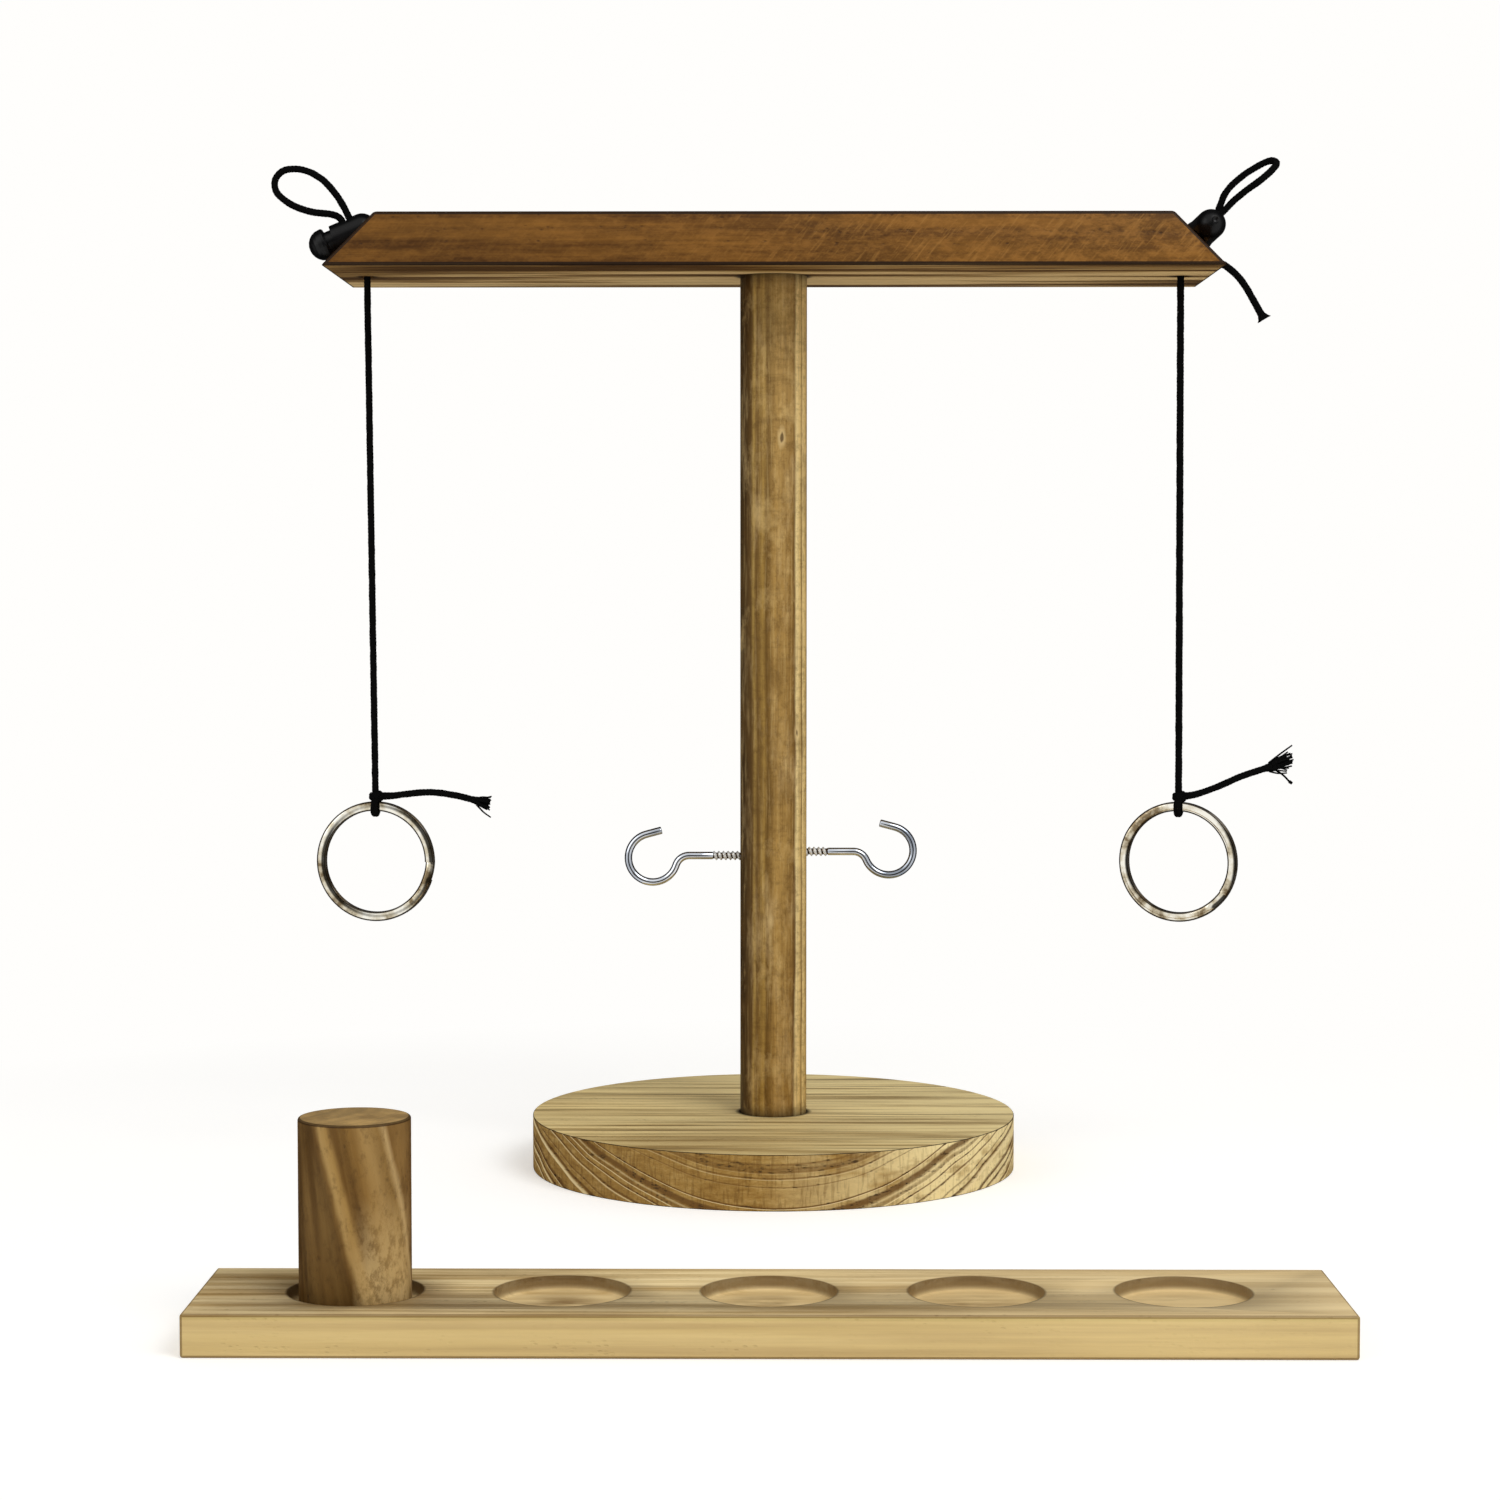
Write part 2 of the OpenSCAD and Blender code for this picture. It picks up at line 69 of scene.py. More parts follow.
# The cords: one length of 2.2 mm black braided cord on each side, from the knot on the ring up
# through the beam and the cord lock, round a loop and back through the lock. It is cut with a
# flame at the top, and its short tail past the knot is left to fray.
CORD_R = 0.0011
BEAM_Z = 0.276
HOLE_X = 0.1255
MOUTH_Z = BEAM_Z + 0.0095
WIRE_Z = 0.1122


def tone(red, green, blue):
    """A colour written as 0 to 255 on the screen, as the shader's linear values."""
    def linear(value):
        value /= 255
        return value / 12.92 if value <= 0.04045 else ((value + 0.055) / 1.055) ** 2.4
    return (linear(red), linear(green), linear(blue), 1)


def add(tree, kind, inputs=None, **settings):
    """A shader node with its settings, and its inputs set to values or linked to sockets."""
    made = tree.nodes.new("ShaderNode" + kind)
    for name, value in settings.items():
        setattr(made, name, value)
    for name, value in (inputs or {}).items():
        if isinstance(value, bpy.types.NodeSocket):
            tree.links.new(value, made.inputs[name])
        else:
            made.inputs[name].default_value = value
    return made


def maths(tree, operation, first, second=0.5):
    return add(tree, "Math", {0: first, 1: second}, operation=operation).outputs[0]


def plus(tree, first, second):
    return maths(tree, "ADD", first, second)


def minus(tree, first, second):
    return maths(tree, "SUBTRACT", first, second)


def times(tree, first, second):
    return maths(tree, "MULTIPLY", first, second)


def mixed(tree, share, first, second):
    return add(tree, "Mix", {0: share, 6: first, 7: second}, data_type="RGBA").outputs[2]


def tinted(tree, colour, mask, share, tint):
    """The colour with a tint laid over it, by a share of a mask."""
    return mixed(tree, times(tree, mask, share), colour, tint)


def ramp(tree, value, stops):
    """Colours along a value: stops are (place, red, green, blue)."""
    node = add(tree, "ValToRGB", {0: value})
    elements = node.color_ramp.elements
    while len(elements) < len(stops):
        elements.new(1)
    for element, (place, *colour) in zip(elements, stops):
        element.position = place
        element.color = tone(*colour)
    return node.outputs[0]


def grade(tree, value, low, high, to_low=0, to_high=1):
    """A value spread from low..high to another range, held at its ends."""
    return add(tree, "MapRange", {0: value, 1: low, 2: high, 3: to_low, 4: to_high}).outputs[0]


def peak(tree, value, centre, width):
    """1 where the value is at the centre, and 0 from a width away."""
    off = maths(tree, "ABSOLUTE", minus(tree, value, centre))
    return grade(tree, off, 0, width, 1, 0)


def noise(tree, vector, scale, detail=4, rough=0.55):
    return add(tree, "TexNoise", {"Vector": vector, "Scale": scale, "Detail": detail,
                                  "Roughness": rough}).outputs[0]


def placed(tree, vector, location=(0, 0, 0), rotation=(0, 0, 0), scale=(1, 1, 1)):
    return add(tree, "Mapping", {"Vector": vector, "Location": location, "Rotation": rotation,
                                 "Scale": scale}).outputs[0]


def stretched(tree, vector, scale, detail=4, rough=0.55, rotation=(0, 0, 0)):
    """Noise with its own scale along each axis: the larger, the finer."""
    return noise(tree, placed(tree, vector, rotation=rotation, scale=scale), 1, detail, rough)


def xyz_of(tree, vector):
    return add(tree, "SeparateXYZ", {0: vector}).outputs


def vector_length(tree, vector):
    return add(tree, "VectorMath", {0: vector}, operation="LENGTH").outputs["Value"]


def far_from(tree, vector, centre, scale=(1, 1, 1)):
    """The distance of each point from a centre, with each direction scaled."""
    moved = placed(tree, vector, [-c * s for c, s in zip(centre, scale)], (0, 0, 0), scale)
    return vector_length(tree, moved)


def new_material(name, **values):
    """A material with these values on its shader, its tree, its shader and its texture coordinates."""
    made = bpy.data.materials.new(name)
    made.use_nodes = True
    tree = made.node_tree
    shader = tree.nodes["Principled BSDF"]
    for socket, value in values.items():
        shader.inputs[socket.replace("_", " ")].default_value = value
    return made, tree, shader, add(tree, "TexCoord").outputs


def feed(tree, shader, **values):
    """Links values to the shader's sockets."""
    for socket, value in values.items():
        tree.links.new(value, shader.inputs[socket.replace("_", " ")])


def relief(tree, shader, height, distance):
    """Bumps on the surface, of that depth in metres."""
    feed(tree, shader, Normal=add(tree, "Bump", {"Height": height, "Distance": distance}).outputs[0])


cord_black, tree, shader, coordinates = new_material("cord_black", Roughness=0.85, Specular_IOR_Level=0.08)
# The braid's stitches follow the cord: U goes round it, V along it, both in stitches.
stitches = placed(tree, coordinates["UV"], rotation=(0, 0, 0.6))
yarn = add(tree, "TexWave", {"Vector": stitches, "Scale": 1.9, "Distortion": 1.2, "Detail": 2.0,
                             "Detail Scale": 3.0}).outputs[1]
fluff = noise(tree, coordinates["Object"], 2600, 3)
feed(tree, shader, Base_Color=ramp(tree, times(tree, yarn, fluff), [(0.1, 2, 2, 2), (0.75, 15, 15, 16)]))
relief(tree, shader, plus(tree, yarn, fluff), 0.00012)


def smooth_route(points, step=0.0003):
    """Points every step along one smooth curve through the given points."""
    points = [Vector(point) for point in points]
    line = []
    for i in range(len(points) - 1):
        before, start, end, after = (points[max(i - 1, 0)], points[i], points[i + 1],
                                     points[min(i + 2, len(points) - 1)])
        reach = (end - start).length / 3
        leave = start + (end - before).normalized() * reach
        arrive = end - (after - start).normalized() * reach
        count = max(2, round(3 * reach / step))
        line += interpolate_bezier(start, leave, arrive, end, count + 1)[:-1]
    return line + [points[-1]]


def tube_mesh(name, line, radii, sides):
    """A round tube along a line, with closed ends, as a mesh."""
    data = bpy.data.curves.new(name, "CURVE")
    data.dimensions = "3D"
    data.bevel_depth = 1
    data.bevel_resolution = (sides - 4) // 2
    data.use_fill_caps = True
    data.twist_mode = "MINIMUM"
    spline = data.splines.new("POLY")
    spline.points.add(len(line) - 1)
    for point, place, radius in zip(spline.points, line, radii):
        point.co = (*place, 1)
        point.radius = radius
    holder = bpy.data.objects.new(name, data)
    scene.collection.objects.link(holder)
    mesh = bpy.data.meshes.new_from_object(
        holder.evaluated_get(bpy.context.evaluated_depsgraph_get()))
    bpy.data.objects.remove(holder)
    bpy.data.curves.remove(data)
    mesh.name = name
    return mesh


def finished(name, mesh, body, material, replaced=(), sharp=35):
    """The mesh as a piece that rides on a body and stands for its CAD nodes."""
    made = bpy.data.objects.new(name, mesh)
    scene.collection.objects.link(made)
    mesh.materials.clear()
    mesh.materials.append(material)
    mesh.shade_smooth()
    mesh.set_sharp_from_angle(angle=math.radians(sharp))
    if body:
        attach(made, body)
    if replaced:
        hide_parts(*replaced)
    return made


def meshed(name, bm):
    mesh = bpy.data.meshes.new(name)
    bm.to_mesh(mesh)
    bm.free()
    return mesh


def built(name, bm, body, material, replaced=()):
    """The bmesh as a finished piece."""
    return finished(name, meshed(name, bm), body, material, replaced)


STITCHES_ROUND = 8
STITCH_LENGTH = 0.0011


def braided(name, line, radii, body, replaced=()):
    """A cord whose stitches stand out in rows, each row half a stitch on from the last."""
    sides = 24
    mesh = tube_mesh(name, line, radii, sides)
    along = [0]
    for before, after in zip(line, line[1:]):
        along.append(along[-1] + (after - before).length)
    normals = [vertex.normal.copy() for vertex in mesh.vertices]
    for index, vertex in enumerate(mesh.vertices):
        ring, side = divmod(index, sides)
        if ring >= len(line):
            continue
        around = 2 * math.pi * STITCHES_ROUND * side / sides
        forward = 2 * math.pi * along[ring] / STITCH_LENGTH
        swell = math.cos(around / 2 + forward / 2) * math.cos(around / 2 - forward / 2)
        slack = lumps.noise(vertex.co * 420)
        vertex.co += normals[index] * (0.07 * swell + 0.09 * slack - 0.03) * radii[ring]
    uv = mesh.uv_layers.active.data
    for loop in mesh.loops:
        ring, side = divmod(loop.vertex_index, sides)
        if ring < len(line):
            turn = side / sides
            if uv[loop.index].uv.y > 0.99 and side == 0:
                turn = 1
            uv[loop.index].uv = (turn * STITCHES_ROUND, along[ring] / STITCH_LENGTH)
    return finished(name, mesh, body, cord_black, replaced, sharp=80)


# The upper ends, in mm from the top of the beam's cord hole.
TOP_ROUTES = {
    "left": [(0, 0, -8.1), (-0.1, 0, -5), (-0.7, 0, -2.3), (-2, 0, 0.3), (-3.74, 0, 4.45), (-5.54, 0, 8.7),
             (-7.4, 0, 12.4), (-9.1, 0, 15.2), (-11.4, 0, 18.1), (-14.3, 0, 20.8), (-18.6, 0, 23),
             (-23, 0, 23.6), (-26.3, 0, 22.7), (-28.2, 0, 20.3), (-28.2, 0, 17.3), (-26, 0, 14.5),
             (-21.9, 0, 12), (-16.8, 0, 10.4), (-13.7, 0, 10), (-11.08, 0, 9.73), (-8.84, 0, 8.92),
             (-7.35, 0, 7.06), (-5.86, 0, 3.55), (-4.06, 0, -0.68), (-3.85, 0, -1.2)],
    "right": [(0, 0, -8.1), (0.4, 0, -4.8), (1.2, -0.3, -1.2), (2.8, -0.3, 0.6), (4.7, 0, 2.1),
              (7.8, 1.1, 5.2), (10.9, 2.2, 8.3), (12.4, 3.4, 12.4), (14.5, 4.5, 17), (18.7, 5, 21.2),
              (23.5, 4.6, 24.4), (27.5, 2.6, 26.1), (29.1, -0.4, 25.1), (27.3, -3.4, 22.6),
              (23.7, -3.6, 19.4), (19.5, -1.8, 16.4), (15.7, 0.3, 13.2), (13.3, 0.8, 10.7),
              (11.3, 0.1, 8.7), (8.2, -1.1, 5.6), (6.5, -1.7, 3.9), (5.5, -2.2, 2.2),
              (5.2, -2.7, 0.2), (5.9, -2.9, -1.8), (8.6, -2.8, -4.1), (13.5, -2.3, -6.6),
              (17.1, -2, -9.5), (19.5, -2, -12.6), (21.8, -2, -16.4), (24.1, -2, -20.5),
              (25.5, -2, -22.9)],
}
END_FLARE = {"left": 1.2, "right": 2.1}
SIDES = {"left": -1, "right": 1}
RING_X = {"left": -0.124, "right": 0.126}
RING_TURN = {"left": math.radians(-7), "right": math.radians(-21.5)}
for side, sign in SIDES.items():
    line = smooth_route([Vector((sign * HOLE_X, 0, MOUTH_Z)) + Vector(p) / 1000 for p in TOP_ROUTES[side]])
    last, flare = len(line) - 1, END_FLARE[side] - 1
    radii = [CORD_R * (1 + flare * max(0, 1 - (last - i) / 9) ** 2) for i in range(last + 1)]
    top_cord = braided(f"{side}_top_cord_braid", line, radii, "stand", [f"{side}_top_cord"])

# The knot: two turns round the ring's wire, then one and a half round the standing cord.
LOOP_R, LOOP_SHIFT, LOOP_CORD, LOOP_STEPS = 0.00258, 0.0007, 0.0008, 52
LUMP_R, LUMP_LOW, LUMP_HIGH, LUMP_CORD, LUMP_STEPS = 0.0013, 0.0022, 0.004, 0.00095, 59
for side, sign in SIDES.items():
    centre = Vector((RING_X[side], 0, WIRE_Z))
    loops = []
    for i in range(LOOP_STEPS + 1):
        angle = math.radians(90 + 360 * 2 * i / LOOP_STEPS)
        loops.append((-LOOP_SHIFT + 2 * LOOP_SHIFT * i / LOOP_STEPS, -LOOP_R * math.cos(angle),
                      LOOP_R * math.sin(angle)))
    for i in range(LUMP_STEPS + 1):
        angle = math.radians(-60 + 900 * i / LUMP_STEPS)
        loops.append((0.0002 + LUMP_R * math.cos(angle), LUMP_R * math.sin(angle),
                      LUMP_LOW + (LUMP_HIGH - LUMP_LOW) * i / LUMP_STEPS))
    turn = Matrix.Rotation(RING_TURN[side], 3, "Z")
    line = smooth_route([centre + turn @ Vector(p) for p in loops], 0.0004)
    radii = [LOOP_CORD if i < len(line) / 2 else LUMP_CORD for i in range(len(line))]
    knot = braided(f"{side}_ring_knot_wraps", line, radii, f"{side}_drop", [f"{side}_ring_knot"])

    # The hanging stretch, from inside the beam's hole down into the knot.
    top = Vector((sign * HOLE_X, 0, BEAM_Z + 0.0011))
    bend = Vector((sign * HOLE_X, 0, BEAM_Z - 0.0055))
    foot = centre + Vector((0, 0, 0.0037))
    line = smooth_route([top, bend] + [bend.lerp(foot, i / 8) for i in range(1, 9)])
    # Its upper end is round, so that it turns freely in the hole.
    short_of = [max(0, CORD_R - (place - line[0]).length) for place in line]
    radii = [math.sqrt(max(CORD_R ** 2 - short ** 2, 1e-8)) for short in short_of]
    hanging = braided(f"{side}_hanging_cord", line, radii, None,
                      [f"{side}_cord_neck", f"{side}_cord_drop"])
    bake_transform(hanging)

# The tails past the knots end in a brush where the braid has come undone. On the right one
# strand hangs out of the brush, with a bead of melted fibre on its end.
TAIL_ROUTES = {
    "left": [(0.4, 0, 3.1), (5.2, 0, 3.2), (9.2, 0, 3.7), (17.2, 0, 4.3), (25.1, 0, 3.3), (32.2, 0, 1.5)],
    "right": [(-0.2, 0, 3), (5, 0, 3.7), (11.7, 0, 6), (19.5, 0, 9.4), (28.7, 0, 12.5)],
}
FRAY_REACH = {"left": 0.0049, "right": 0.0082}
FRAY_SPREAD = {"left": 0.0013, "right": 0.0008}
STRAY = [(27.5, 0, 11.7), (30.2, 0, 11.2), (32.6, 0, 9.6), (34.3, 0, 7.8)]
HAIRS, HAIR_R = 60, 0.00033
fray_random = random.Random(7)
for side in SIDES:
    centre = Vector((RING_X[side], 0, WIRE_Z))
    line = smooth_route([centre + Vector(p) / 1000 for p in TAIL_ROUTES[side]])
    heading = (line[-1] - line[-9]).normalized()
    fray = bmesh.new()
    hairs = []
    for _ in range(HAIRS):
        spread = Vector((0, fray_random.gauss(0, 0.8), fray_random.gauss(0, 0.8)))
        start = line[-1] - heading * 0.0008 + spread * 0.0006
        reach = FRAY_REACH[side] * fray_random.uniform(0.55, 0.98)
        end = start + heading * reach + spread * FRAY_SPREAD[side] * reach / 0.0043
        bow = Vector((0, fray_random.gauss(0, 1), fray_random.gauss(0, 1)))
        middle = start.lerp(end, 0.5) + bow * reach * 0.05
        hairs.append((smooth_route([start, middle, end], reach / 8), HAIR_R, 0.7))
    if side == "right":
        stray = smooth_route([centre + Vector(p) / 1000 for p in STRAY], 0.0004)
        hairs.append((stray, 0.00034, 1))
        hairs.append(([stray[-1] + Vector((0.0003, 0, -0.0002)) * i for i in range(4)], 0.0006, 0.8))
    for hair, thickness, taper in hairs:
        radii = [thickness * (1 - (1 - taper) * i / len(hair)) for i in range(len(hair))]
        hair_mesh = tube_mesh("hair", hair, radii, 6)
        fray.from_mesh(hair_mesh)
        bpy.data.meshes.remove(hair_mesh)
    brush = built(f"{side}_tail_fray", fray, f"{side}_drop", cord_black)
    # The tail swells a little where it leaves the knot and where the brush begins.
    last = len(line) - 1
    swell = [1 + 0.3 * max(0, 1 - (last - i) / 8) + 0.2 * max(0, 1 - i / 20) for i in range(last + 1)]
    radii = [CORD_R * share for share in swell]
    tail = braided(f"{side}_ring_tail_braid", line, radii, f"{side}_drop", [f"{side}_ring_tail"])

# The base: a 150 mm disc sawn from a pine board, stained and sanded. The tree's axis ran left to
# right below it, so the top shows straight grain and the side shows bowl-shaped growth rings. Painted
# shade darkens it along its rounded edges.
wood_grain = bpy.data.node_groups.new("wood_grain", "ShaderNodeTree")
for name, kind in (("Vector", "Vector"), ("Ring Width", "Float"), ("Waver", "Float"), ("Coarse", "Float")):
    wood_grain.interface.new_socket(name, in_out="INPUT", socket_type="NodeSocket" + kind)
for name in ("Rings", "Bright Rings", "Streaks", "Lines", "Pits", "Stain", "Height"):
    wood_grain.interface.new_socket(name, in_out="OUTPUT", socket_type="NodeSocketFloat")
given = wood_grain.nodes.new("NodeGroupInput").outputs
# The growth rings are shells round the X axis, which wander a little along it.
slow = stretched(wood_grain, given["Vector"], (6, 28, 28), 2)
wander = times(wood_grain, minus(wood_grain, slow, 0.5), given["Waver"])
split = xyz_of(wood_grain, given["Vector"])
across = add(wood_grain, "CombineXYZ", {1: split[1], 2: split[2]}).outputs[0]
radius = vector_length(wood_grain, across)
count = maths(wood_grain, "DIVIDE", plus(wood_grain, radius, wander), given["Ring Width"])
uneven = add(wood_grain, "TexNoise", {"W": count, "Scale": 0.7, "Detail": 1.0},
             noise_dimensions="1D").outputs[0]
count = plus(wood_grain, count, times(wood_grain, uneven, 2.0))
phase = maths(wood_grain, "FRACT", count)
strength = add(wood_grain, "TexWhiteNoise", {"W": maths(wood_grain, "FLOOR", count)},
               noise_dimensions="1D").outputs[0]
rings = times(wood_grain, peak(wood_grain, phase, 0.8, 0.2), grade(wood_grain, strength, 0, 1, 0.35, 1))
bright_rings = times(wood_grain, peak(wood_grain, phase, 0.6, 0.07), strength)
# Long streaks and thin dark lines run along the grain. Each is coarser where Coarse is larger.
shrink = maths(wood_grain, "DIVIDE", 1.0, given["Coarse"])
finer = add(wood_grain, "VectorMath", {0: given["Vector"], "Scale": shrink}, operation="SCALE").outputs[0]
streaks = stretched(wood_grain, finer, (9, 260, 260), 6, 0.65)
lines = grade(wood_grain, stretched(wood_grain, finer, (8, 420, 420), 3, 0.5), 0.57, 0.68)
fibres = stretched(wood_grain, given["Vector"], (160, 3800, 3800), 2)
cells = add(wood_grain, "TexVoronoi", {"Vector": placed(wood_grain, given["Vector"], scale=(420, 900, 900)),
                                       "Scale": 1.0}).outputs[0]
pitted = times(wood_grain, grade(wood_grain, noise(wood_grain, given["Vector"], 90, 2), 0.42, 0.58),
               grade(wood_grain, rings, 0.1, 0.5, 0.25, 1))
pits = times(wood_grain, grade(wood_grain, cells, 0.32, 0.14), pitted)
stain = stretched(wood_grain, given["Vector"], (16, 55, 55), 5, 0.6)
height = plus(wood_grain, times(wood_grain, streaks, 0.5), times(wood_grain, fibres, 0.3))
height = minus(wood_grain, height, plus(wood_grain, pits, times(wood_grain, rings, 0.3)))
given_back = wood_grain.nodes.new("NodeGroupOutput")
for name, socket in (("Rings", rings), ("Bright Rings", bright_rings), ("Streaks", streaks),
                     ("Lines", lines), ("Pits", pits), ("Stain", stain), ("Height", height)):
    wood_grain.links.new(socket, given_back.inputs[name])


def wood(name, pale, mid, dark, location, ring_width, waver, ring_share, line_share, stain_share,
         rotation=(0, 0, 0), coarse=1, bright_share=0.2, pit_share=0.8, depth=0.00012):
    """Stained wood: its grain runs along X once it is turned and moved to the tree's axis."""
    made, tree, shader, coordinates = new_material(name, Specular_IOR_Level=0.16)
    vector = placed(tree, coordinates["Object"], location, rotation)
    grain = tree.nodes.new("ShaderNodeGroup")
    grain.node_tree = wood_grain
    tree.links.new(vector, grain.inputs["Vector"])
    for socket, value in (("Ring Width", ring_width), ("Waver", waver), ("Coarse", coarse)):
        grain.inputs[socket].default_value = value
    out = grain.outputs
    colour = ramp(tree, out["Streaks"], [(0.38, *mid), (0.6, *pale)])
    colour = tinted(tree, colour, grade(tree, out["Stain"], 0.45, 0.66), stain_share, tone(*dark))
    colour = tinted(tree, colour, out["Bright Rings"], bright_share, tone(*pale))
    for part, share in (("Rings", ring_share), ("Lines", line_share), ("Pits", pit_share)):
        colour = tinted(tree, colour, out[part], share, tone(*dark))
    feed(tree, shader, Roughness=grade(tree, out["Streaks"], 0.3, 0.7, 0.42, 0.62))
    relief(tree, shader, out["Height"], depth)
    return made, tree, shader, coordinates["Object"], colour, out


def marked(tree, name):
    return add(tree, "Attribute", attribute_name=name).outputs["Fac"]


def edge_dark(tree, shader, colour, dark, share=0.75):
    """Painted shade darkens the rounded edges, which the mesh marks with the face attribute edge."""
    feed(tree, shader, Base_Color=tinted(tree, colour, marked(tree, "edge"), share, dark))


DISC_R, DISC_T = 0.075, 0.0165
disc_wood, tree, shader, spot, colour, out = wood(
    "disc_wood", (250, 222, 154), (176, 140, 68), (78, 50, 14), location=(0, -0.006, 0.085),
    ring_width=0.0032, waver=0.007, coarse=1.05, ring_share=0.35, bright_share=0.4, line_share=0.5,
    stain_share=0.25, depth=0.0002)
# The end grain on the wall is darker and hatched upwards, with painted light on its right in patches.
wall = marked(tree, "wall")
hatch = stretched(tree, spot, (1100, 1100, 130), 3, 0.6)
clouds = stretched(tree, spot, (160, 160, 520), 6, 0.75)
end_grain = ramp(tree, clouds, [(0.36, 146, 108, 48), (0.5, 170, 132, 66), (0.62, 190, 154, 88)])
place = xyz_of(tree, spot)
# Painted light: the wall is paler towards the right, broken into patches, and less hatched there.
wear_and_painted_light = times(tree, grade(tree, place[0], -0.004, 0.048),
             grade(tree, stretched(tree, spot, (50, 50, 140), 3, 0.6), 0.32, 0.5))
end_grain = tinted(tree, end_grain, wear_and_painted_light, 0.95, tone(255, 232, 170))
hatched = times(tree, grade(tree, hatch, 0.5, 0.62), grade(tree, wear_and_painted_light, 0, 1, 0.5, 0.22))
end_grain = mixed(tree, hatched, end_grain, tone(110, 76, 28))
end_grain = mixed(tree, grade(tree, out["Rings"], 0.05, 0.55, 0, 0.85), end_grain, tone(104, 68, 24))
end_grain = mixed(tree, grade(tree, out["Bright Rings"], 0.04, 0.4, 0, 0.95), end_grain, tone(248, 224, 168))
# Short dark dashes, where the saw tore the softer rings, lie in rows along them.
torn = stretched(tree, spot, (260, 260, 1100), 3, 0.6)
torn = times(tree, grade(tree, torn, 0.58, 0.64), grade(tree, out["Rings"], 0.05, 0.3))
end_grain = tinted(tree, end_grain, torn, 0.85, tone(48, 28, 8))
end_grain = tinted(tree, end_grain, out["Pits"], 0.95, tone(40, 24, 8))
# Painted light: the top is paler towards the right and the back.
painted_light = grade(tree, plus(tree, place[0], times(tree, place[1], 0.5)), -0.07, 0.07, 0.22, 0.85)
colour = mixed(tree, painted_light, colour, tone(255, 234, 172))
# Darker lines and soft dark streaks run through all of it.
colour = tinted(tree, colour, grade(tree, out["Streaks"], 0.48, 0.36), 0.6, tone(134, 98, 44))
colour = tinted(tree, colour, out["Lines"], 0.6, tone(92, 62, 22))
colour = mixed(tree, wall, colour, end_grain)
# Painted shade: a dark ring on the top round the foot of the post.
round_post = far_from(tree, spot, (0, 0, 0), (1, 1, 0))
colour = mixed(tree, grade(tree, round_post, 0.0122, 0.0108, 0, 0.9), colour, tone(38, 20, 4))
# The top is darker towards the middle of the front, where the stain pooled.
pooled = grade(tree, far_from(tree, spot, (-0.012, -0.052, DISC_T), (0.5, 1, 1)), 0.034, 0.004, 0, 0.4)
colour = mixed(tree, pooled, colour, tone(140, 106, 52))
edge_dark(tree, shader, colour, tone(34, 20, 4), 0.9)


def soften(bm, width, segments=3, sharper_than=30):
    """Rounds the sharp edges, and marks the rounded faces as edge."""
    mark = bm.faces.layers.float.get("edge") or bm.faces.layers.float.new("edge")
    sharp = [e for e in bm.edges
             if len(e.link_faces) == 2 and e.calc_face_angle(0) > math.radians(sharper_than)]
    made = bmesh.ops.bevel(bm, geom=sharp, offset=width, offset_type="OFFSET", segments=segments,
                           profile=0.5, affect="EDGES", material=-1, clamp_overlap=True)
    for face in made["faces"]:
        face[mark] = 1


def turned(profile, steps):
    """A bmesh spun round the Z axis from (radius, height) points in metres."""
    bm = bmesh.new()
    verts = [bm.verts.new((r, 0, z)) for r, z in profile]
    edges = [bm.edges.new(pair) for pair in zip(verts, verts[1:])]
    bmesh.ops.spin(bm, geom=verts + edges, cent=(0, 0, 0), axis=(0, 0, 1), angle=2 * math.pi,
                   steps=steps, use_merge=True)
    bmesh.ops.remove_doubles(bm, verts=bm.verts, dist=1e-6)
    bmesh.ops.recalc_face_normals(bm, faces=bm.faces)
    return bm


def mark_faces(bm, name, chosen):
    """Marks the faces that a test picks with a face attribute of that name."""
    mark = bm.faces.layers.float.get(name) or bm.faces.layers.float.new(name)
    for face in bm.faces:
        face[mark] = 1.0 if chosen(face) else 0.0


SOCKET_R, SOCKET_FLOOR = 0.0104, 0.0055
SCREW_R, HEAD_R, HEAD_LOW, HEAD_TOP = 0.00225, 0.00435, 0.0004, 0.0025
bm = turned([(DISC_R, 0), (DISC_R, DISC_T), (SOCKET_R, DISC_T), (SOCKET_R, SOCKET_FLOOR),
             (SCREW_R, SOCKET_FLOOR), (SCREW_R, HEAD_TOP), (HEAD_R, HEAD_LOW), (HEAD_R, 0), (DISC_R, 0)], 160)
soften(bm, 0.0011)
mark_faces(bm, "wall", lambda face: abs(face.normal.z) < 0.3 and face.calc_center_median().xy.length > 0.07)
built("disc_of_pine", bm, "stand", disc_wood, ["base_disc"])

# The countersunk screw that holds the post is bright steel, and only its head shows, from below.
# The springs in the cord locks are drawn from the same steel.
screw_steel, tree, shader, coordinates = new_material("screw_steel", Metallic=1.0)
brushed = noise(tree, coordinates["Object"], 900)
feed(tree, shader, Base_Color=ramp(tree, brushed, [(0.3, 150, 152, 156), (0.7, 196, 197, 200)]),
     Roughness=grade(tree, noise(tree, coordinates["Object"], 1500), 0.3, 0.7, 0.25, 0.45))
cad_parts["base_screw"].data.materials.clear()
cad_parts["base_screw"].data.materials.append(screw_steel)

# The post: a 20.6 mm dowel, stained a warm brown and glued into both sockets. Its grain runs up it
# in broad stripes, with painted shade on the left and painted light at the right, and three small dents on
# the front.
POST_R, POST_LOW, POST_HIGH = 0.0103, 0.0056, 0.2849


def turn_share(tree, vector):
    """The share of a turn round the Z axis, from the left over the front to the right and the back."""
    parts = xyz_of(tree, vector)
    angle = maths(tree, "ARCTAN2", times(tree, parts[1], -1.0), times(tree, parts[0], -1.0))
    return maths(tree, "FRACT", plus(tree, maths(tree, "DIVIDE", angle, 2 * math.pi), 1.0))


